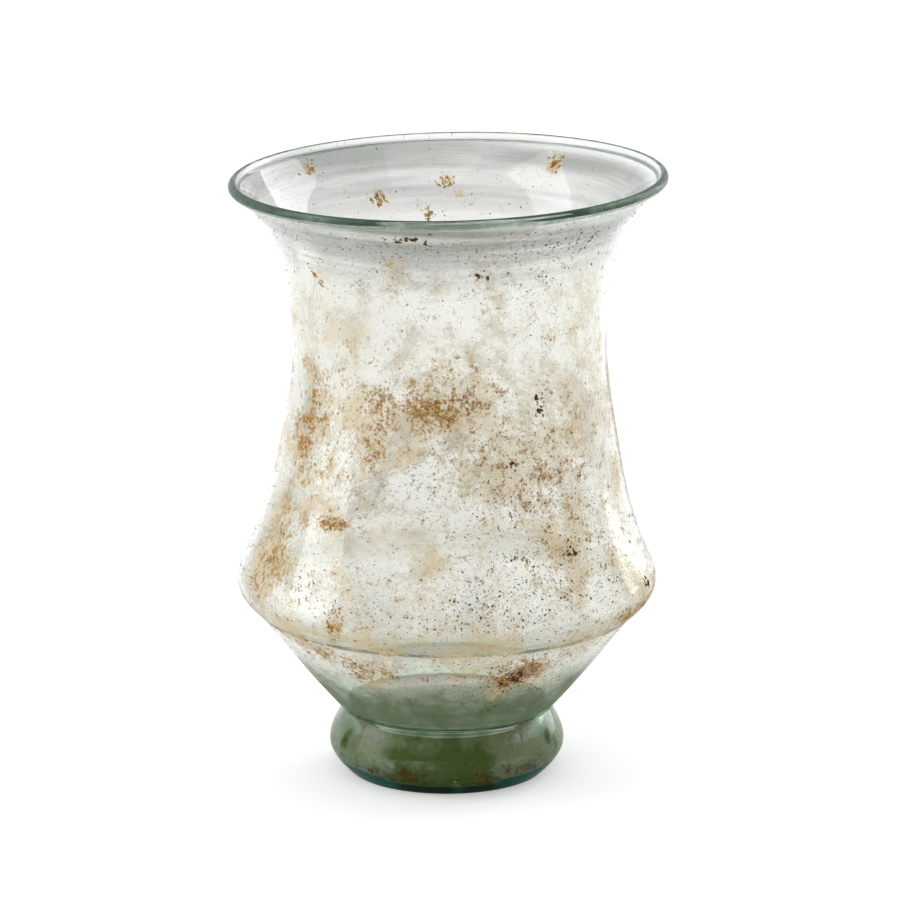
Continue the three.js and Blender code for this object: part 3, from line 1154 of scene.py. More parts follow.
class CrumbScatter:
    """A geometry node tree that scatters small flat crumbs over a surface."""

    sizes = {"Density": 100000.0, "Least Size": 0.05 * MM, "Most Size": 0.25 * MM, "Flatness": 0.5}
    rareness = 4.0
    least_form: Point = (0.6, 0.35, 0.5)
    most_form: Point = (2.0, 1.0, 1.1)
    least_turn: Point = (-0.3, -0.3, 0)
    most_turn: Point = (0.3, 0.3, 2 * math.pi)

    def __init__(self) -> None:
        """Builds the tree once."""
        self.tree = bpy.data.node_groups.new("crumb_scatter", "GeometryNodeTree")
        face = self.tree.interface
        face.new_socket(name="Geometry", in_out="INPUT", socket_type="NodeSocketGeometry")
        for name, value in self.sizes.items():
            socket = face.new_socket(name=name, in_out="INPUT", socket_type="NodeSocketFloat")
            socket.default_value = value
        face.new_socket(name="Seed", in_out="INPUT", socket_type="NodeSocketInt").default_value = 1
        face.new_socket(name="Material", in_out="INPUT", socket_type="NodeSocketMaterial")
        face.new_socket(name="Geometry", in_out="OUTPUT", socket_type="NodeSocketGeometry")
        self.fill(NodeSheet(self.tree))

    def chosen(self, sheet: NodeSheet, seed: Socket, least: Point, most: Point) -> Socket:
        """Gives a random vector for each crumb.

        Args:
            sheet: The tree's sheet.
            seed: The seed.
            least: The smallest value of each part.
            most: The largest value of each part.

        Returns:
            The vector.
        """
        node = sheet.add("FunctionNodeRandomValue", {"data_type": "FLOAT_VECTOR"}, Seed=seed)
        sheet.feed(node, 0, least)
        sheet.feed(node, 1, most)
        return node.outputs[0]

    def fill(self, sheet: NodeSheet) -> None:
        """Scatters points, sets a crumb on each and makes the crumbs real.

        Args:
            sheet: The tree's sheet.
        """
        given = sheet.add("NodeGroupInput").outputs
        crowd = sheet.add("GeometryNodeInputNamedAttribute", {"data_type": "FLOAT"}, Name="crumbs")
        density = sheet.math("MULTIPLY", crowd.outputs["Attribute"], given["Density"])
        points = sheet.add("GeometryNodeDistributePointsOnFaces", Mesh=given["Geometry"],
                           Density=density, Seed=given["Seed"])
        luck = sheet.add("FunctionNodeRandomValue", {"data_type": "FLOAT"}, Seed=given["Seed"])
        rare = sheet.math("POWER", luck.outputs[1], self.rareness)
        spread = sheet.math("SUBTRACT", given["Most Size"], given["Least Size"])
        size = sheet.math("ADD", given["Least Size"], sheet.math("MULTIPLY", spread, rare))
        thick = sheet.math("MULTIPLY", size, given["Flatness"])
        flat = sheet.add("ShaderNodeCombineXYZ", X=size, Y=size, Z=thick)
        scale = sheet.add("ShaderNodeVectorMath", {"operation": "MULTIPLY"})
        sheet.feed(scale, 0, flat.outputs[0])
        sheet.feed(scale, 1, self.chosen(sheet, given["Seed"], self.least_form, self.most_form))
        crumb = sheet.add("GeometryNodeMeshIcoSphere", Radius=1.0, Subdivisions=1)
        spin = self.chosen(sheet, given["Seed"], self.least_turn, self.most_turn)
        turn = sheet.add("FunctionNodeRotateRotation", {"rotation_space": "LOCAL"},
                         Rotation=points.outputs["Rotation"], Rotate_By=spin)
        placed = sheet.add("GeometryNodeInstanceOnPoints", Points=points.outputs["Points"],
                           Instance=crumb.outputs["Mesh"], Rotation=turn.outputs[0], Scale=scale.outputs[0])
        real = sheet.add("GeometryNodeRealizeInstances", Geometry=placed.outputs[0])
        dressed = sheet.add("GeometryNodeSetMaterial", Geometry=real.outputs[0], Material=given["Material"])
        sheet.add("NodeGroupOutput", Geometry=dressed.outputs[0])

    def over(self, name: str, carrier: bpy.types.Object, crowd: np.ndarray, material: bpy.types.Material,
             seed: int, **sizes: float) -> bpy.types.Object:
        """Scatters crumbs over a carrier and gives them as a plain mesh.

        Args:
            name: The name of the piece that is made.
            carrier: The surface, which is left as it was.
            crowd: How thick the crumbs lie at each vertex of the carrier, from 0 to 1.
            material: The crumbs' material.
            seed: The seed of everything random.
            **sizes: Values for the tree's sizes, by name with _ for a space.

        Returns:
            The crumbs, as one mesh object.
        """
        source = bpy.data.objects.new(name + "_source", carrier.data.copy())
        bpy.context.scene.collection.objects.link(source)
        set_attributes(source, crumbs=crowd)
        modifier = source.modifiers.new("scatter", "NODES")
        modifier.node_group = self.tree
        values = {**self.sizes, **{key.replace("_", " "): value for key, value in sizes.items()},
                  "Seed": seed, "Material": material}
        for item in self.tree.interface.items_tree:
            if item.item_type == "SOCKET" and item.in_out == "INPUT" and item.name in values:
                modifier[item.identifier] = values[item.name]
        bpy.context.view_layer.update()
        evaluated = source.evaluated_get(bpy.context.evaluated_depsgraph_get())
        mesh = bpy.data.meshes.new_from_object(evaluated)
        mesh.name = name
        source.modifiers.remove(modifier)
        bpy.data.objects.remove(source)
        crumbs = bpy.data.objects.new(name, mesh)
        bpy.context.scene.collection.objects.link(crumbs)
        return crumbs


# Pieces


def dress(piece: bpy.types.Object, material: bpy.types.Material, slot: str, *nodes: str) -> None:
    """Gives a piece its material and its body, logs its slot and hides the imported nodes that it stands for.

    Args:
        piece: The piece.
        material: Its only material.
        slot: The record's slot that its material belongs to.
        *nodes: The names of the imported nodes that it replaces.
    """
    piece.data.materials.clear()
    piece.data.materials.append(material)
    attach(piece, "root")
    if nodes:
        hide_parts(*nodes)
    log.info("%s: %d faces, slot %s", piece.name, len(piece.data.polygons), slot)


@dataclass(frozen=True)
class Patch:
    """A stained place on the wall, in degrees and millimetres, and how strong it is."""

    turn: float
    height: float
    half_width: float
    half_height: float
    strength: float

    def on(self, points: np.ndarray) -> np.ndarray:
        """Gives how strongly the patch lies on each point.

        Args:
            points: The vertices of a film.

        Returns:
            The patch's strength in its middle, and nearly 0 outside.
        """
        azimuth = np.degrees(np.arctan2(points[:, 1], points[:, 0]))
        away = (azimuth - self.turn + 180) % 360 - 180
        across = np.radians(away) * np.hypot(points[:, 0], points[:, 1]) / (self.half_width * MM)
        up = (points[:, 2] - self.height * MM) / (self.half_height * MM)
        return self.strength * np.exp(-(across**2 + up**2))


def all_on(patches: tuple[Patch, ...], points: np.ndarray) -> np.ndarray:
    """Adds up the strengths of several patches at each point."""
    return sum(patch.on(points) for patch in patches)


@dataclass
class Bowl:
    """The blown bowl: its clear glass and the film of weathering and painted depth that wraps it."""

    shape: BowlShape
    around: int = 228
    film_gap: float = 0.03 * MM
    wave: float = 0.05 * MM
    wave_forms: tuple[tuple[float, float, float, float], ...] = (
        (1, 2, 5, 0), (0.6, 3, -9, 1), (0.4, 5, 14, 0))
    stains_inside: tuple[Patch, ...] = (
        Patch(92, 66, 22, 17, 0.35),
        Patch(108, 99, 8, 3.5, 0.4),
        Patch(152, 70, 7, 15, 0.9),
        Patch(158, 46, 8, 10, 1.0),
        Patch(114, 115, 2.2, 2.2, 1.6),
        Patch(100, 113, 1.8, 1.8, 1.4),
        Patch(90, 117.5, 2.4, 1.8, 1.7),
        Patch(86, 114.5, 1.5, 1.2, 1.5),
        Patch(96, 110.5, 2, 2, 1.4),
        Patch(55, 121.5, 2.6, 2, 1.9),
        Patch(137, 122, 2.2, 1.8, 1.9),
        Patch(70, 112, 1.5, 1.5, 1.2),
    )
    stains_outside: tuple[Patch, ...] = (
        Patch(-91, 81, 19, 15, 0.42),
        Patch(-94, 83, 4, 2.2, 0.45),
        Patch(-104, 85.5, 6, 2.5, 0.45),
        Patch(-82, 86, 3.5, 2.5, 0.45),
        Patch(-88, 89.5, 9, 4, 0.3),
        Patch(-60, 73, 9, 9, 0.3),
        Patch(-40, 74, 12, 16, 0.3),
        Patch(-107, 114.5, 6, 2.5, 0.9),
        Patch(-105, 108.5, 5, 4, 0.8),
        Patch(-148, 76, 5, 17, 0.65),
        Patch(-133, 78, 8, 18, 0.3),
        Patch(-154, 47, 8, 11, 0.6),
        Patch(-116, 77, 3, 6, 0.7),
        Patch(-50, 58, 20, 14, 0.2),
        Patch(-30, 39, 14, 3, 0.6),
        Patch(-67, 28, 6, 4, 0.9),
        Patch(-58, 30, 8, 4, 0.5),
        Patch(-118, 29, 7, 4, 0.6),
        Patch(-135, 32, 8, 4, 0.5),
        Patch(-122, 41, 4, 2.5, 0.8),
        Patch(-129, 60, 7, 2, 0.8),
        Patch(-90, 47, 60, 9, 0.15),
        Patch(25, 70, 18, 14, 0.6),
        Patch(110, 55, 20, 14, 0.5),
        Patch(70, 95, 14, 9, 0.4),
    )
    murk: tuple[Patch, ...] = (
        Patch(-155, 48, 5, 10, 0.5),
        Patch(-150, 66, 4, 12, 0.35),
        Patch(-150, 84, 3, 10, 0.35),
        Patch(-23, 74, 3, 18, 0.2),
        Patch(-27, 47, 7, 9, 0.15),
    )
    hazes: tuple[Patch, ...] = (
        Patch(-128, 23.5, 4, 1.5, 0.5),
        Patch(-114, 25.8, 5, 1.4, 0.55),
        Patch(-104, 27.4, 5, 1.4, 0.55),
        Patch(-92, 28.6, 7, 1.4, 0.6),
        Patch(-80, 28, 6, 1.2, 0.45),
        Patch(-133, 80, 8, 20, 0.22),
        Patch(-125, 100, 14, 9, 0.16),
        Patch(-40, 72, 14, 20, 0.12),
        Patch(-100, 101, 40, 8, 0.07),
        Patch(-90, 31, 60, 5, 0.16),
    )
    grit: tuple[Patch, ...] = (
        Patch(-55, 62, 24, 18, 0.6),
        Patch(-90, 44, 60, 9, 0.5),
        Patch(-65, 28, 16, 7, 0.9),
        Patch(-128, 31, 16, 6, 0.6),
        Patch(-90, 119, 60, 4, 0.5),
        Patch(-50, 112, 14, 10, 0.5),
    )

    # Where each kind of weathering, painted shade and painted depth sets in, from the height or the place
    # that film() gives it
    clean_fade: Fade = Fade(-30, -18)
    bottom_fade: Fade = Fade(5, 11)
    cone_fade: Fade = Fade(-3, 2)
    front_fade: Fade = Fade(-16, 4)
    low_fade: Fade = Fade(5.5, 18)
    upper_fade: Fade = Fade(-26, -12)
    pool_fade: Fade = Fade(15, 21)
    bead_fade: Fade = Fade(-3, -1)
    above_fade: Fade = Fade(0, 2)
    outer_bead_fade: Fade = Fade(-1.1, -0.5)
    under_fade: Fade = Fade(-0.3, 0)
    under_rim_fade: Fade = Fade(15, 20.5)
    camera_side_fade: Fade = Fade(-12, 16)
    painted_crest_fade: Fade = Fade(-0.13, -0.05)
    fold: Hump = Hump(2.5, 3.2)
    groove: Hump = Hump(0.25, 0.55)

    # How much of each kind of weathering lies on the wall, and how strong the painted shade and painted depth
    # are
    inside_stain: float = 0.05
    outside_stain: float = 0.08
    cone_stain: float = 0.12
    inside_cleanness: float = 0.65
    outside_cleanness: float = 0.45
    bottom_cleanness: float = 0.7
    inside_grit: float = 0.08
    outside_grit: float = 0.22
    inside_veil: float = 0.04
    outside_veil: float = 0.03
    rear_veil: float = 0.12
    rear_depth: float = 20 * MM
    inside_fold_veil: float = 0.3
    outside_fold_veil: float = 0.46
    upper_clearness: float = 0.75
    cone_murk: float = 0.16
    painted_groove_shade: float = 1.05
    low_murk: float = 0.2
    painted_low_front_shade: float = 0.46
    cleared_murk: float = 0.6
    pool_murk: float = 0.55
    milk: float = 0.6
    inside_softness: float = 0.4
    bead_clearness: float = 0.6
    painted_bead_depth: float = 0.62
    painted_under_depth: float = 0.3

    # Where the glass itself is tinted or dim: painted teal depth at the bead, painted green depth at the
    # thick floor and painted grey shade in rings below the rim
    foot_tint_fade: Fade = Fade(0.5, 3)
    floor_glass_painted_tint: float = 0.9
    bead_tint_fade: Fade = Fade(-2.2, -0.8)
    bead_tint_drop: float = 5 * MM
    bead_glass_painted_tint: float = 0.2
    dim_fade: Fade = Fade(-20, -4)
    dim_end_fade: Fade = Fade(-1.2, -0.4)

    clump_scale: float = 260.0
    clump_roughness: float = 0.8
    clump_growth: float = 2.0
    clump_depth: int = 4
    clump_range: Spot = (-0.15, 0.55)

    def profile(self) -> Line:
        """Draws the closed outline of the glass.

        Returns:
            The points from the axis under the floor to the axis above it.
        """
        shape = self.shape
        return (shape.floor_under()[::-1] + shape.outside()[1:] + shape.bead()[1:]
                + shape.inside()[::-1] + shape.floor_top()[1:])

    def waved(self, points: np.ndarray) -> np.ndarray:
        """Gives the wall the slow unevenness of blown glass, and leans it.

        Args:
            points: The vertices of the even glass.

        Returns:
            The moved vertices.
        """
        shape = self.shape
        turn = np.arctan2(points[:, 1], points[:, 0])
        rise = points[:, 2] / shape.rim_height
        slow = sum(strength * np.sin(count * turn + climb * rise + start)
                   for strength, count, climb, start in self.wave_forms)
        radius = np.hypot(points[:, 0], points[:, 1])
        wall = points[:, 2] > shape.floor_height + shape.floor_corner_rise
        inner = np.arange(len(points)) >= len(points) // 2
        grow = 1 + np.where(wall & inner, self.wave * slow / np.maximum(radius, MM), 0)
        moved = points.copy()
        moved[:, 0] *= grow
        moved[:, 1] *= grow
        return shape.blown(moved)

    def glass(self) -> bpy.types.Object:
        """Builds the glass body.

        Returns:
            The glass, which carries where it is tinted with painted depth and where it is dimmed with painted
            shade.
        """
        glass = turned("bowl_glass", self.profile(), self.around, self.waved)
        points = points_of(glass)
        height, radius = points[:, 2], np.hypot(points[:, 0], points[:, 1])
        rim = self.shape.rim_height
        low = self.foot_tint_fade.out(height, self.shape.neck_height)
        bead = self.bead_tint_fade.into(radius, self.shape.rim_radius) * (height > rim - self.bead_tint_drop)
        dim = self.dim_fade.into(height, rim) * self.dim_end_fade.out(height, rim)
        set_attributes(glass, edge=np.maximum(self.bead_glass_painted_tint * bead, self.floor_glass_painted_tint * low), dim=dim)
        return glass

    def film(self) -> bpy.types.Object:
        """Builds the film: a closed skin a hair off the glass, inside and out.

        Returns:
            The film, which carries how much of each kind of weathering lies where.
        """
        line = self.profile()
        skin = moved_inward(line, [-self.film_gap] * len(line))
        skin[0] = (0.0, skin[0][1])
        skin[-1] = (0.0, skin[-1][1])
        film = turned("bowl_weathering_and_painted_depth", skin, self.around, self.shape.blown)
        points = points_of(film)
        station = np.array([skin[0], *np.repeat(skin[1:-1], self.around, axis=0), skin[-1]])
        inner = np.arange(len(points)) > len(points) // 2
        set_attributes(film, **self.stained(points, station, inner), **self.hazed(points, station, inner),
                       **self.painted_depths(points, station, inner))
        return film

    def stained(self, points: np.ndarray, station: np.ndarray, inner: np.ndarray) -> dict[str, np.ndarray]:
        """Says where stains and grit lie on the film.

        Args:
            points: The film's vertices.
            station: The radius and height of each vertex before the body leans.
            inner: True for each vertex of the inner skin.

        Returns:
            One number for each vertex, by attribute name.
        """
        height, shape = station[:, 1], self.shape
        clean = self.clean_fade.into(height, shape.rim_height)
        bottom = self.bottom_fade.out(height, shape.neck_height)
        cone = self.cone_fade.out(height, shape.crease_height)
        low = self.low_fade.out(height, shape.neck_height)
        inside = (all_on(self.stains_inside, points) + self.inside_stain - self.inside_cleanness * clean
                  - self.bottom_cleanness * bottom)
        outside = all_on(self.stains_outside, points) + self.outside_stain - self.outside_cleanness * clean
        outside = outside + self.cone_stain * cone - self.bottom_cleanness * low
        grit = all_on(self.grit, points) + self.outside_grit
        return {"stain": np.where(inner, inside, outside), "grit": np.where(inner, self.inside_grit, grit)}

    def hazed(self, points: np.ndarray, station: np.ndarray, inner: np.ndarray
              ) -> dict[str, np.ndarray | float]:
        """Says where haze, milk and murk lie on the film, with painted shade along the crease groove and low
        on the cone, on the camera side.

        Args:
            points: The film's vertices.
            station: The radius and height of each vertex before the body leans.
            inner: True for each vertex of the inner skin.

        Returns:
            One number for each vertex, or one for all, by attribute name.
        """
        radius, height, shape = station[:, 0], station[:, 1], self.shape
        front = self.front_fade.out(points[:, 1])
        rear = 0.5 + 0.5 * np.clip(points[:, 1] / self.rear_depth, -1, 1)
        cone = self.cone_fade.out(height, shape.crease_height)
        low = self.low_fade.out(height, shape.neck_height)
        fold = self.fold.on(height, shape.crease_height)
        hazes = all_on(self.hazes, points)
        hazy = self.outside_veil + self.outside_fold_veil * fold + hazes
        clear = self.inside_veil + self.rear_veil * rear + self.inside_fold_veil * fold * front
        veil = np.where(inner, clear, hazy)
        veil = veil * (1 - self.upper_clearness * self.upper_fade.into(height, shape.rim_height))
        groove = self.groove.on(height, shape.crease_height)
        # The murk along the groove and the extra murk low on the cone lie only on the camera side: painted
        # shade
        murk = all_on(self.murk, points) + self.cone_murk * cone + self.painted_groove_shade * groove * front
        murk += (self.low_murk + self.painted_low_front_shade * front) * low - self.cleared_murk * hazes * cone
        return {"veil": veil, "murk": np.where(inner, self.pool_murk * self.pool_fade.out(radius), murk),
                "milk": self.milk, "softness": self.inside_softness * inner}

    def painted_depths(self, points: np.ndarray, station: np.ndarray, inner: np.ndarray) -> dict[str, np.ndarray]:
        """Says where the film covers, and where painted depth lies: teal on the bead's camera side, a dark
        line along its crest and dark green under the floor.

        Args:
            points: The film's vertices.
            station: The radius and height of each vertex before the body leans.
            inner: True for each vertex of the inner skin.

        Returns:
            One number for each vertex, by attribute name.
        """
        radius, height, shape = station[:, 0], station[:, 1], self.shape
        bead = self.bead_fade.into(height, shape.rim_height)
        above = self.above_fade.into(height, shape.neck_height)
        outer_bead = self.outer_bead_fade.into(radius, shape.rim_radius)
        under = self.under_fade.out(height, shape.neck_height) * self.under_rim_fade.out(radius)
        painted_crest = self.painted_crest_fade.into(height, shape.rim_height + shape.bead_radius)
        near = self.camera_side_fade.out(points[:, 1])
        # Painted depth: teal on the bead's camera side and dark green under the floor, with a painted dark
        # line along the bead's crest
        deep = np.maximum(self.painted_bead_depth * outer_bead * near, np.where(inner, 0.0, self.painted_under_depth * under))
        return {"cover": np.where(inner, 1.0, above) * (1 - self.bead_clearness * bead),
                "deep": np.maximum(deep, painted_crest), "line": painted_crest}

    def crowd(self, wall: bpy.types.Object, source: str) -> np.ndarray:
        """Gives how thick crumbs lie at each vertex of the film, in clumps.

        Args:
            wall: The film.
            source: The name of the film's number that the crumbs follow.

        Returns:
            One number from 0 to 1 for each vertex, 0 under the foot.
        """
        data = wall.data
        given = np.zeros(len(data.vertices), dtype=np.float32)
        data.attributes[source].data.foreach_get("value", given)
        points = [v.co for v in data.vertices]
        clumps = np.array([
            noise.fractal(p * self.clump_scale, self.clump_roughness, self.clump_growth, self.clump_depth)
            for p in points
        ])
        open_to = np.array([p.z > self.shape.neck_height + MM for p in points])
        return np.clip(given, 0, 1) * eased(clumps, *self.clump_range) * open_to


@dataclass
class Foot:
    """The hollow foot that was worked on under the bowl."""

    shape: FootShape
    bowl: BowlShape
    around: int = 224
    film_gap: float = 0.02 * MM
    spots: tuple[Patch, ...] = (
        Patch(-152, 9.2, 1.6, 2.2, 1.0),
        Patch(-148, 11, 1, 1.2, 0.8),
        Patch(-27.5, 9.8, 1.4, 2, 1.0),
        Patch(-22, 8, 1, 1.5, 0.7),
    )
    silts: tuple[Patch, ...] = (
        Patch(-58, 6, 7, 3.5, 0.8),
        Patch(-112, 5, 7, 2.5, 0.8),
        Patch(-80, 12, 14, 2, 0.4),
    )

    # Where each kind of weathering, and the painted depth and light of the standing edge, sets in, upwards,
    # sideways or backwards
    low_fade: Fade = Fade(4.5, 9.5)
    top_fade: Fade = Fade(8.5, 12)
    side_fade: Fade = Fade(7, 14)
    side_middle: float = -1 * MM
    front_fade: Fade = Fade(-6, 6)
    edge_fade: Fade = Fade(11, 23)
    cover_fade: Fade = Fade(1.2, 3)
    painted_gleam_fade: Fade = Fade(5, 14)
    painted_edge_tint_fade: Fade = Fade(1.8, 2.3)

    # The standing edge: a painted band of deep green, for the dark look of light in the thick ring, under a
    # faint painted light line
    painted_band_height: float = 3.0 * MM
    painted_band_gain: float = 0.5 * MM
    painted_band_fade: Fade = Fade(-0.2, 0.2)
    painted_line_hump: Hump = Hump(0.6, 0.35)
    painted_line_strength: float = 0.5
    painted_line_depth: float = 0.8

    # How much lies on the outside, from its base, low down, in spots, aside, at the top and in front; the
    # murk's rise in front is painted shade on the camera side, over real murk
    outer_stain: Gain = Gain(-0.75, 0.3)
    outer_grit: Gain = Gain(0.12, 0.5)
    spot_grit: float = 0.2
    outer_silt: Gain = Gain(-0.5, 0.75)
    spot_silt: float = 1.6
    most_murk: float = 0.88
    side_clearness: float = 0.5
    top_clearness: float = 0.24
    front_murk_and_painted_shade: Gain = Gain(0.35, 0.65)
    spot_murk: float = 0.6

    # How much lies in the hollow and on its soil, from its base and low down
    hollow_stain: float = -0.6
    hollow_grit: Gain = Gain(0.2, 0.6)
    hollow_veil: Gain = Gain(0.35, 0.3)
    soil_tint: float = 0.25
    soil_grit: Gain = Gain(0.1, 0.7)
    soil_veil: Gain = Gain(0.16, 0.2)
    soil_waves: tuple[float, float, float] = (3, 1.2, 2)

    scar_rim: float = 0.35
    scar_hollow: float = 1.6
    scar_middle: float = 0.3
    scar_bend: float = 0.6
    scar_steps: int = 12
    scar_share: float = 0.92
    scar_jags: tuple[Point, ...] = ((5, 0, 0.10), (11, 2, 0.06))
    scar_tint: float = 0.4

    def outline(self) -> Line:
        """Draws the foot's closed outline.

        Returns:
            The points up the outer face, in along the seat and down the inner face.
        """
        outside = self.shape.outside(self.bowl)
        seat = self.shape.seat(self.bowl)
        inside = self.shape.inside(self.bowl)
        return outside + seat[1:] + inside[-2::-1]

    def glass(self) -> bpy.types.Object:
        """Builds the foot's glass ring, with a painted dark green tint along the edge that it stands on.

        Returns:
            The glass, which carries where it is tinted.
        """
        glass = turned("foot_glass", self.outline(), self.around, ring=True)
        set_attributes(glass, edge=self.painted_edge_tint_fade.out(points_of(glass)[:, 2]), dim=0.0)
        return glass

    def soil(self) -> bpy.types.Object:
        """Builds the soil that is baked on the inside of the hollow, thin and full of gaps.

        Returns:
            The soil, which carries how stained it is and how far it covers.
        """
        inside = self.shape.inside(self.bowl)
        wall = [p for p in inside if self.shape.soil_start <= p[1] <= self.shape.soil_end]
        near = moved_inward(wall, [self.shape.soil_gap] * len(wall))
        far = moved_inward(wall, [self.shape.soil_gap + self.shape.soil_thickness] * len(wall))
        soil = turned("foot_soil_layer", near + far[::-1], self.around, ring=True)
        points = points_of(soil)
        low = 1 - eased(points[:, 2], self.shape.soil_start, self.shape.soil_end)
        turn = np.arctan2(points[:, 1], points[:, 0])
        count, start, second = self.soil_waves
        uneven = 0.5 + 0.5 * np.sin(count * turn + start) * np.cos(second * turn)
        set_attributes(soil, stain=self.soil_tint + low + self.soil_tint * uneven,
                       grit=self.soil_grit.on(low), veil=self.soil_veil.on(low), cover=1.0)
        return soil

    def film(self) -> bpy.types.Object:
        """Builds the film on the foot: a hair off the glass outside, a hair into it in the hollow.

        Returns:
            The film, which carries how much of each kind of weathering lies where.
        """
        outline = self.outline()
        closed = [outline[-1], *outline, outline[0]]
        outside = len(self.shape.outside(self.bowl))
        steps = [-self.film_gap if i <= outside else self.film_gap for i in range(len(closed))]
        skin = [(radius, max(height, 0.0)) for radius, height in moved_inward(closed, steps)[1:-1]]
        film = turned("foot_weathering_and_painted_edge", skin, self.around, ring=True)
        points = points_of(film)
        inner = np.arange(len(points)) >= outside * self.around
        height = points[:, 2]
        aside = np.abs(points[:, 0])
        low = self.low_fade.out(height)
        top = self.top_fade.into(height)
        side = self.side_fade.into(np.abs(points[:, 0] - self.side_middle))
        front = self.front_fade.out(points[:, 1])
        spots = all_on(self.spots, points)
        silt = self.outer_silt.on(low) + self.spot_silt * spots + all_on(self.silts, points)
        murk = self.most_murk - self.side_clearness * side - self.top_clearness * top
        murk = murk * self.front_murk_and_painted_shade.on(front) + self.spot_murk * spots
        # The painted band and the painted light line rise towards the sides as seen from the camera
        edge = self.edge_fade.into(aside)
        brink = self.painted_band_height + self.painted_band_gain * edge
        painted_band = self.painted_band_fade.out(height, brink)
        line = self.painted_line_strength * edge * self.painted_line_hump.on(height, brink)
        outer = {"murk": murk, "silt": silt, "deep": np.maximum(painted_band, self.painted_line_depth * line),
                 "line": line * (1 - painted_band)}
        set_attributes(
            film,
            stain=np.where(inner, self.hollow_stain, self.outer_stain.on(low)),
            grit=np.where(inner, self.hollow_grit.on(low), self.outer_grit.on(low) + self.spot_grit * spots),
            veil=np.where(inner, self.hollow_veil.on(low), 0.0),
            cover=np.where(inner, 1.0, self.cover_fade.into(height)),
            # Gleam: painted highlights on the band, stronger towards the sides
            gleam=self.painted_gleam_fade.into(aside),
            **{name: np.where(inner, 0.0, values) for name, values in outer.items()},
        )
        return film

    def jagged(self, points: np.ndarray) -> np.ndarray:
        """Breaks the scar's round edge.

        Args:
            points: The vertices of a round scar.

        Returns:
            The moved vertices.
        """
        turn = np.arctan2(points[:, 1], points[:, 0])
        jag = 1 + sum(depth * np.sin(count * turn + start) for count, start, depth in self.scar_jags)
        moved = points.copy()
        moved[:, 0] *= jag * self.scar_share
        moved[:, 1] *= jag * self.scar_share
        return moved

    def scar(self) -> bpy.types.Object:
        """Builds the broken glass that the holding rod left under the floor.

        Returns:
            The scar.
        """
        shape, depth = self.shape, self.shape.scar_depth
        top = [(r, h - shape.seat_gap) for r, h in self.bowl.floor_under() if r <= shape.scar_radius]
        radius, height = top[0]
        hollow = bend((radius, height - self.scar_rim * depth),
                      (self.scar_bend * radius, height - self.scar_hollow * depth),
                      (0.0, height - self.scar_middle * depth), self.scar_steps)
        scar = turned("scar_glass", hollow[::-1] + top, self.around, self.jagged)
        set_attributes(scar, edge=self.scar_tint, dim=0.0)
        return scar


@dataclass(frozen=True)
class Crust:
    """A cluster of crust islands on one face of the bowl's wall, in degrees and millimetres."""

    name: str
    side: Side
    turn: float
    height: float
    half_width: float
    half_height: float
    grain: float
    level: float
    thickness: float = 0.35
    lean: float = 0.0
    cell: float = 0.12
    gap: float = 0.05
    shore: float = 0.012
    steepness: float = 1.6
    roundness: float = 0.9
    octaves: tuple[float, float, int] = (0.75, 2.1, 5)

    def islands(self, bowl: BowlShape, line: Line) -> tuple[np.ndarray, Faces]:
        """Draws the islands where a rough noise rises over its level.

        Args:
            bowl: The bowl that the crust stands on.
            line: The turned line of the face that it stands on.

        Returns:
            The vertices and the faces of closed islands that taper to their shores.
        """
        half_width, half_height = self.half_width * MM, self.half_height * MM
        columns, rows = round(2 * half_width / (self.cell * MM)), round(2 * half_height / (self.cell * MM))
        middle = radius_at(line, self.height * MM)
        cos, sin = math.cos(math.radians(self.lean)), math.sin(math.radians(self.lean))
        tops, feet, values = [], [], []
        for j in range(rows + 1):
            for i in range(columns + 1):
                u, v = 2 * i / columns - 1, 2 * j / rows - 1
                along = u * half_width * cos - v * half_height * sin
                rise = u * half_width * sin + v * half_height * cos
                spot = Vector((along, rise, self.turn)) * (1 / MM / self.grain)
                value = noise.fractal(spot, *self.octaves) - self.level - self.roundness * (u * u + v * v)
                thick = min(max(value, 0.0) * self.steepness, 1.0) * self.thickness * MM + self.shore * MM
                values.append(value)
                angle = math.radians(self.turn) + along / middle
                for points, step in ((feet, self.gap * MM), (tops, self.gap * MM + thick)):
                    points.append(self.spot_off(line, angle, self.height * MM + rise, step * self.side.value))
        return bowl.blown(np.array(feet + tops)), self.sewn(values, columns, rows)

    def spot_off(self, line: Line, angle: float, height: float, step: float) -> Point:
        """Gives the place that lies a step square off the wall.

        Args:
            line: The turned line of the wall's face.
            angle: How far round the place is, in radians.
            height: The height on the wall.
            step: The step off the wall, negative towards the axis.

        Returns:
            The place.
        """
        slope = (radius_at(line, height + MM / 2) - radius_at(line, height - MM / 2)) / MM
        square = Vector((1, -slope)).normalized()
        radius = radius_at(line, height) + square.x * step
        return (radius * math.cos(angle), radius * math.sin(angle), height + square.y * step)

    def sewn(self, values: list[float], columns: int, rows: int) -> Faces:
        """Sews top, foot and shore faces round each cell that rises over the level.

        Args:
            values: How far each grid point rises over the level, row by row.
            columns: How many cells lie in a row.
            rows: How many rows there are.

        Returns:
            The faces of closed islands.
        """
        count = len(values)
        kept = []
        for j in range(1, rows - 1):
            for i in range(1, columns - 1):
                low, high = j * (columns + 1) + i, (j + 1) * (columns + 1) + i
                corners = (low, low + 1, high + 1, high)
                if max(values[c] for c in corners) > 0:
                    kept.append(corners)
        sides = {side for corners in kept for side in zip(corners, corners[1:] + corners[:1])}
        faces = []
        for a, b, c, d in kept:
            faces.append((a + count, b + count, c + count, d + count))
            faces.append((d, c, b, a))
            for first, last in ((a, b), (b, c), (c, d), (d, a)):
                if (last, first) not in sides:
                    faces.append((first, last, last + count, first + count))
        if self.side is Side.INSIDE:
            faces = [face[::-1] for face in faces]
        return faces


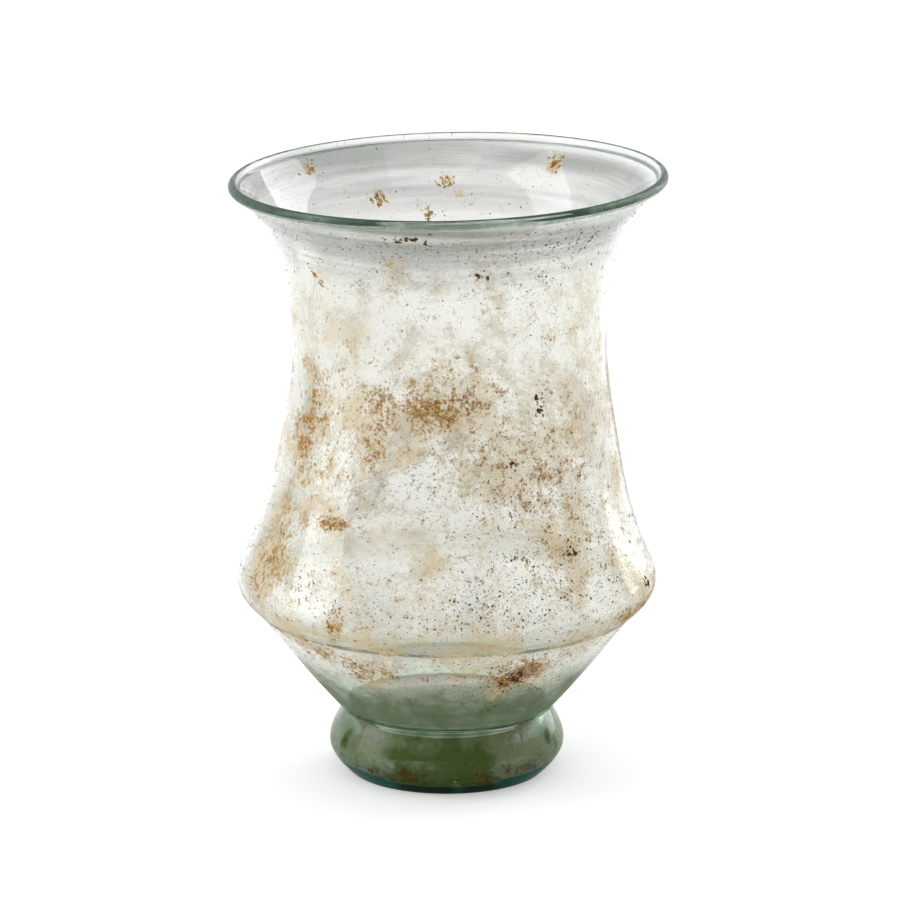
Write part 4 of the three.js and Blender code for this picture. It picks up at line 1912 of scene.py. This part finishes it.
@dataclass
class Crusts:
    """The crusts that stand on the bowl, and the loose ones between them."""

    bowl: BowlShape
    packed: tuple[Crust, ...] = (
        Crust("rear_wall_crust", Side.INSIDE, 95, 68, 8, 6, 1.5, 0.10),
        Crust("rear_left_crust", Side.INSIDE, 116, 72, 4.6, 3.2, 1.3, 0.08),
        Crust("left_wall_crust", Side.INSIDE, 164, 71, 4.5, 7, 1.6, 0.08),
        Crust("left_shoulder_crust", Side.INSIDE, 156, 45, 5, 3, 1.3, 0.05),
        Crust("right_wall_crust", Side.OUTSIDE, -57, 84, 2.6, 4.5, 1.1, 0.24),
        Crust("cone_crust", Side.OUTSIDE, -67, 28, 5, 3.2, 1.2, 0.22),
        Crust("rim_crust", Side.OUTSIDE, -102, 121.3, 7, 1.6, 1.2, 0.16),
    )
    loose: tuple[Crust, ...] = (
        Crust("streak", Side.OUTSIDE, -140, 110, 5, 1.1, 0.8, 0.05, 0.25, -48),
        Crust("rim_left_cluster", Side.INSIDE, 137, 122, 3, 1.7, 0.8, 0.05, 0.3, -30),
        Crust("rim_right_cluster", Side.INSIDE, 55, 121.5, 3, 1.9, 0.8, 0.02, 0.3, 30),
        Crust("rear_rim_cluster", Side.INSIDE, 91, 116.8, 3, 1.7, 0.7, 0.08, 0.3, -20),
        Crust("rear_flare_cluster", Side.INSIDE, 97, 111, 1.8, 1.8, 0.7, 0.05, 0.3),
        Crust("left_flare_cluster", Side.INSIDE, 115, 114.5, 2.2, 2, 0.7, 0.05, 0.3),
        Crust("left_cluster", Side.OUTSIDE, -129, 60, 4.5, 1.7, 0.7, 0.05, 0.3),
        Crust("crease_cluster", Side.OUTSIDE, -122, 40.5, 2.6, 1.7, 0.7, 0.02, 0.3),
        Crust("upper_specks", Side.OUTSIDE, -79, 112.5, 4, 1.6, 1.0, 0.24, 0.25),
        Crust("middle_specks", Side.OUTSIDE, -70, 73, 3.2, 2.6, 1.0, 0.28, 0.25),
        Crust("lower_specks", Side.OUTSIDE, -49, 54.5, 2.4, 3, 1.0, 0.24, 0.3),
        Crust("shoulder_specks", Side.OUTSIDE, -17, 43.5, 2.5, 3, 1.0, 0.22, 0.3),
    )
    dark: tuple[str, ...] = ("right_wall_crust", "cone_crust", "rim_crust",
                             "upper_specks", "middle_specks", "lower_specks", "shoulder_specks")

    def build(self, crust: Crust) -> bpy.types.Object:
        """Builds one cluster of islands.

        Args:
            crust: The cluster.

        Returns:
            The cluster's flakes.
        """
        line = self.bowl.inside() if crust.side is Side.INSIDE else self.bowl.outside()
        vertices, faces = crust.islands(self.bowl, line)
        made = mesh_object(crust.name + "_flakes", vertices, faces)
        loose = bmesh.new()
        loose.from_mesh(made.data)
        bmesh.ops.delete(loose, geom=[v for v in loose.verts if not v.link_faces], context="VERTS")
        loose.to_mesh(made.data)
        loose.free()
        return made


# Studio


@dataclass
class Softbox:
    """A rectangular soft lamp, placed by where it stands as seen from the object."""

    name: str
    turn: float
    tilt: float
    distance: float
    size: tuple[float, float]
    brightness: float

    def build(self, aim: Point) -> bpy.types.Object:
        """Makes the lamp and points it at the aim.

        Args:
            aim: The place that the lamp stands round and faces.

        Returns:
            The lamp.
        """
        light = bpy.data.lights.new(self.name, "AREA")
        light.shape = "RECTANGLE"
        light.size, light.size_y = self.size
        light.energy = self.brightness * math.pi * self.size[0] * self.size[1]
        lamp = bpy.data.objects.new(self.name, light)
        turn, tilt = math.radians(self.turn), math.radians(self.tilt)
        away = Vector((math.sin(turn) * math.cos(tilt), -math.cos(turn) * math.cos(tilt), math.sin(tilt)))
        lamp.location = Vector(aim) + away * self.distance
        lamp.rotation_euler = away.to_track_quat("Z", "Y").to_euler()
        bpy.context.scene.collection.objects.link(lamp)
        return lamp


@dataclass
class Studio:
    """The pale floor, the white surround, the soft lamps and the camera."""

    camera_place: Point = (0.00067, -1.2, 0.3786)
    camera_pitch: float = 75.49
    lens: float = 239.92
    sensor_width: float = 36
    sight: float = 20
    floor_size: float = 3.0
    floor_colour: Colour = (0.8, 0.8, 0.8)
    floor_roughness: float = 0.9
    floor_lifts: tuple[float, float] = (0.375, 0.42)
    floor_lift_range: tuple[float, float] = (0.2, 1.0)
    middle: Point = (0, 0, 0.063)
    softboxes: tuple[Softbox, ...] = (
        Softbox("left_softbox", -82, 28, 0.9, (0.5, 1.2), 2.1),
        Softbox("right_softbox", 133, 18, 0.9, (0.5, 1.0), 2.4),
        Softbox("top_softbox", 20, 68, 1.0, (0.6, 0.6), 1.0),
    )
    soft_light: float = 0.6
    white: Colour = (1, 1, 1)
    zenith_colour: Colour = (0.72, 0.74, 0.76)
    zenith_range: tuple[float, float] = (0.35, 0.8)
    front_colour: Colour = (0.28, 0.28, 0.28)
    front_range: tuple[float, ...] = (-0.6, -0.1, 1.0, 0.0)
    all_bounces: int = 20
    gloss_bounces: int = 8
    diffuse_bounces: int = 3
    clear_bounces: int = 32

    def camera(self) -> None:
        """Places the camera at the photograph's viewing angle."""
        data = bpy.data.cameras.new("camera")
        data.lens = self.lens
        data.sensor_width = self.sensor_width
        data.clip_end = self.sight
        camera = bpy.data.objects.new("camera", data)
        camera.location = self.camera_place
        camera.rotation_euler = (math.radians(self.camera_pitch), 0, 0)
        bpy.context.scene.collection.objects.link(camera)
        bpy.context.scene.camera = camera

    def seen(self, sheet: NodeSheet) -> Socket:
        """Tells what the camera sees, straight, in a gloss or through glass.

        Args:
            sheet: The sheet that the nodes go on.

        Returns:
            1 for such a ray and 0 for any other.
        """
        path = sheet.add("ShaderNodeLightPath")
        seen = sheet.math("MAXIMUM", path.outputs["Is Camera Ray"], path.outputs["Is Transmission Ray"])
        return sheet.math("MAXIMUM", seen, path.outputs["Is Glossy Ray"])

    def floor(self) -> None:
        """Lays a pale floor that is white to the camera and keeps the object's shadow."""
        half = self.floor_size / 2
        corners = np.array([(-half, -half, 0), (half, -half, 0), (half, half, 0), (-half, half, 0)])
        floor = mesh_object("floor", corners, [(0, 1, 2, 3)])
        material, sheet = new_material("pale_floor")
        apart = sheet.add("ShaderNodeVectorMath", {"operation": "LENGTH"})
        sheet.feed(apart, 0, sheet.place())
        lift = sheet.step(apart.outputs["Value"], *self.floor_lift_range, *self.floor_lifts)
        lift = sheet.math("MULTIPLY", self.seen(sheet), lift)
        board = sheet.add("ShaderNodeBsdfPrincipled", Base_Color=self.floor_colour,
                          Roughness=self.floor_roughness, Emission_Color=self.white, Emission_Strength=lift)
        sheet.add("ShaderNodeOutputMaterial", Surface=board.outputs[0])
        floor.data.materials.append(material)

    def surround(self) -> None:
        """Fills the world: white to the eye, greyer overhead and in front, plain light elsewhere."""
        scene = bpy.context.scene
        world = bpy.data.worlds.new("surround")
        world.use_nodes = True
        scene.world = world
        sheet = NodeSheet(world.node_tree)
        up = sheet.add("ShaderNodeSeparateXYZ", Vector=sheet.add("ShaderNodeTexCoord").outputs["Generated"])
        backdrop = sheet.mix(sheet.step(up.outputs["Z"], *self.zenith_range), self.white, self.zenith_colour)
        backdrop = sheet.mix(sheet.step(up.outputs["Y"], *self.front_range), backdrop, self.front_colour)
        shown = sheet.add("ShaderNodeBackground", Strength=1.0, Color=backdrop)
        soft = sheet.add("ShaderNodeBackground", Strength=self.soft_light, Color=self.white)
        mixed = sheet.add("ShaderNodeMixShader")
        for index, value in enumerate((self.seen(sheet), soft.outputs[0], shown.outputs[0])):
            sheet.feed(mixed, index, value)
        sheet.add("ShaderNodeOutputWorld", Surface=mixed.outputs[0])
        scene.view_settings.view_transform = "Standard"

    def paths(self) -> None:
        """Lets light pass through all the walls and films of a clear vessel."""
        cycles = bpy.context.scene.cycles
        cycles.max_bounces = self.all_bounces
        cycles.transmission_bounces = self.all_bounces
        cycles.glossy_bounces = self.gloss_bounces
        cycles.diffuse_bounces = self.diffuse_bounces
        cycles.transparent_max_bounces = self.clear_bounces

    def build(self) -> None:
        """Builds the whole studio."""
        self.camera()
        for softbox in self.softboxes:
            softbox.build(self.middle)
        self.floor()
        self.surround()
        self.paths()


@dataclass
class Finishes:
    """The materials of the beaker, each built once."""

    bowl_absorbed: Colour = (18, 7, 12)
    # The edge colours are painted depth: the dark look of light in the thick bead, floor and standing edge
    bowl_painted_edge: Colour = (0.50, 0.66, 0.54)
    foot_absorbed: Colour = (70, 26, 48)
    foot_painted_edge: Colour = (0.006, 0.13, 0.09)
    pale_tones: tuple[Colour, Colour] = ((0.64, 0.43, 0.17), (0.33, 0.145, 0.028))
    dark_tones: tuple[Colour, Colour] = ((0.15, 0.06, 0.014), (0.05, 0.02, 0.005))
    # The foot's Deep, Bright and Line tones paint the dark green band of its standing edge, highlights on it
    # and a light line above it
    foot_tones: dict[str, Colour] = field(default_factory=lambda: {
        "Warm": (0.24, 0.19, 0.09), "Cool": (0.30, 0.33, 0.2), "Silt_Tone": (0.075, 0.052, 0.011),
        "Thin_Murk": (0.25, 0.34, 0.19), "Thick_Murk": (0.068, 0.11, 0.028),
        "Deep_Tone": (0.001, 0.022, 0.009), "Bright_Tone": (0.001, 0.08, 0.055),
        "Line_Tone": (0.50, 0.62, 0.58)})
    soil_tones: dict[str, Colour] = field(default_factory=lambda: {
        "Warm": (0.24, 0.19, 0.09), "Cool": (0.34, 0.33, 0.2)})

    foot_least_deep: float = 1.0
    foot_gloss: float = 0.02
    soil_roughness: float = 0.9

    bowl_glass: bpy.types.Material = field(init=False)
    foot_glass: bpy.types.Material = field(init=False)
    bowl_film: bpy.types.Material = field(init=False)
    foot_film: bpy.types.Material = field(init=False)
    soil: bpy.types.Material = field(init=False)
    crusts: dict[str, bpy.types.Material] = field(init=False)

    def __post_init__(self) -> None:
        """Builds the materials from their shared effects."""
        pattern, flow, grain = WeatheringAndPaintedLight(), GlassFlowAndPaintedShade(), CrustGrain()
        self.bowl_glass = GlassFinish("blown_glass", flow, self.bowl_absorbed, self.bowl_painted_edge).material()
        self.foot_glass = GlassFinish("green_glass", flow, self.foot_absorbed, self.foot_painted_edge).material()
        self.bowl_film = FilmFinish("bowl_weathering_and_painted_depth", pattern).material()
        self.foot_film = FilmFinish("foot_weathering_and_painted_edge", pattern, self.foot_tones, self.foot_least_deep,
                                    self.foot_gloss).material()
        self.soil = FilmFinish("foot_soil", pattern, self.soil_tones,
                               roughness=self.soil_roughness).material()
        self.crusts = {
            "pale_crust": CrustFinish("pale_soil", grain, *self.pale_tones).material(),
            "dark_crust": CrustFinish("dark_soil", grain, *self.dark_tones).material(),
        }


@dataclass(frozen=True)
class Crumbs:
    """Crumbs of one kind over the bowl's film: what they follow, their seed and their sizes."""

    name: str
    slot: str
    source: str
    seed: int
    density: float
    least_size: float
    most_size: float


CRUMBS = (
    Crumbs("bowl_pepper", "dark_crust", "grit", 7, 2600000, 0.05 * MM, 0.2 * MM),
    Crumbs("bowl_crumbs", "pale_crust", "stain", 11, 160000, 0.05 * MM, 0.45 * MM),
)


def main() -> None:
    """Builds the studio and every piece of the beaker."""
    logging.basicConfig(level=logging.INFO, format="%(name)s: %(message)s")
    Studio().build()
    finishes = Finishes()
    shape = BowlShape()
    bowl, foot, crusts = Bowl(shape), Foot(FootShape(), shape), Crusts(shape)
    dress(bowl.glass(), finishes.bowl_glass, "bowl_glass", "bowl")
    dress(foot.glass(), finishes.foot_glass, "foot_glass", "foot")
    dress(foot.scar(), finishes.foot_glass, "foot_glass", "pontil_scar")
    dress(foot.soil(), finishes.soil, "soil", "foot_soil")
    film = bowl.film()
    dress(film, finishes.bowl_film, "pale_crust")
    dress(foot.film(), finishes.foot_film, "soil")
    for crust in crusts.packed + crusts.loose:
        slot = "dark_crust" if crust.name in crusts.dark else "pale_crust"
        nodes = [crust.name] if crust in crusts.packed else []
        dress(crusts.build(crust), finishes.crusts[slot], slot, *nodes)
    scatter = CrumbScatter()
    for kind in CRUMBS:
        material = finishes.crusts[kind.slot]
        crumbs = scatter.over(kind.name, film, bowl.crowd(film, kind.source), material, kind.seed,
                              Density=kind.density, Least_Size=kind.least_size, Most_Size=kind.most_size)
        dress(crumbs, material, kind.slot)


if __name__ == "__main__":
    main()
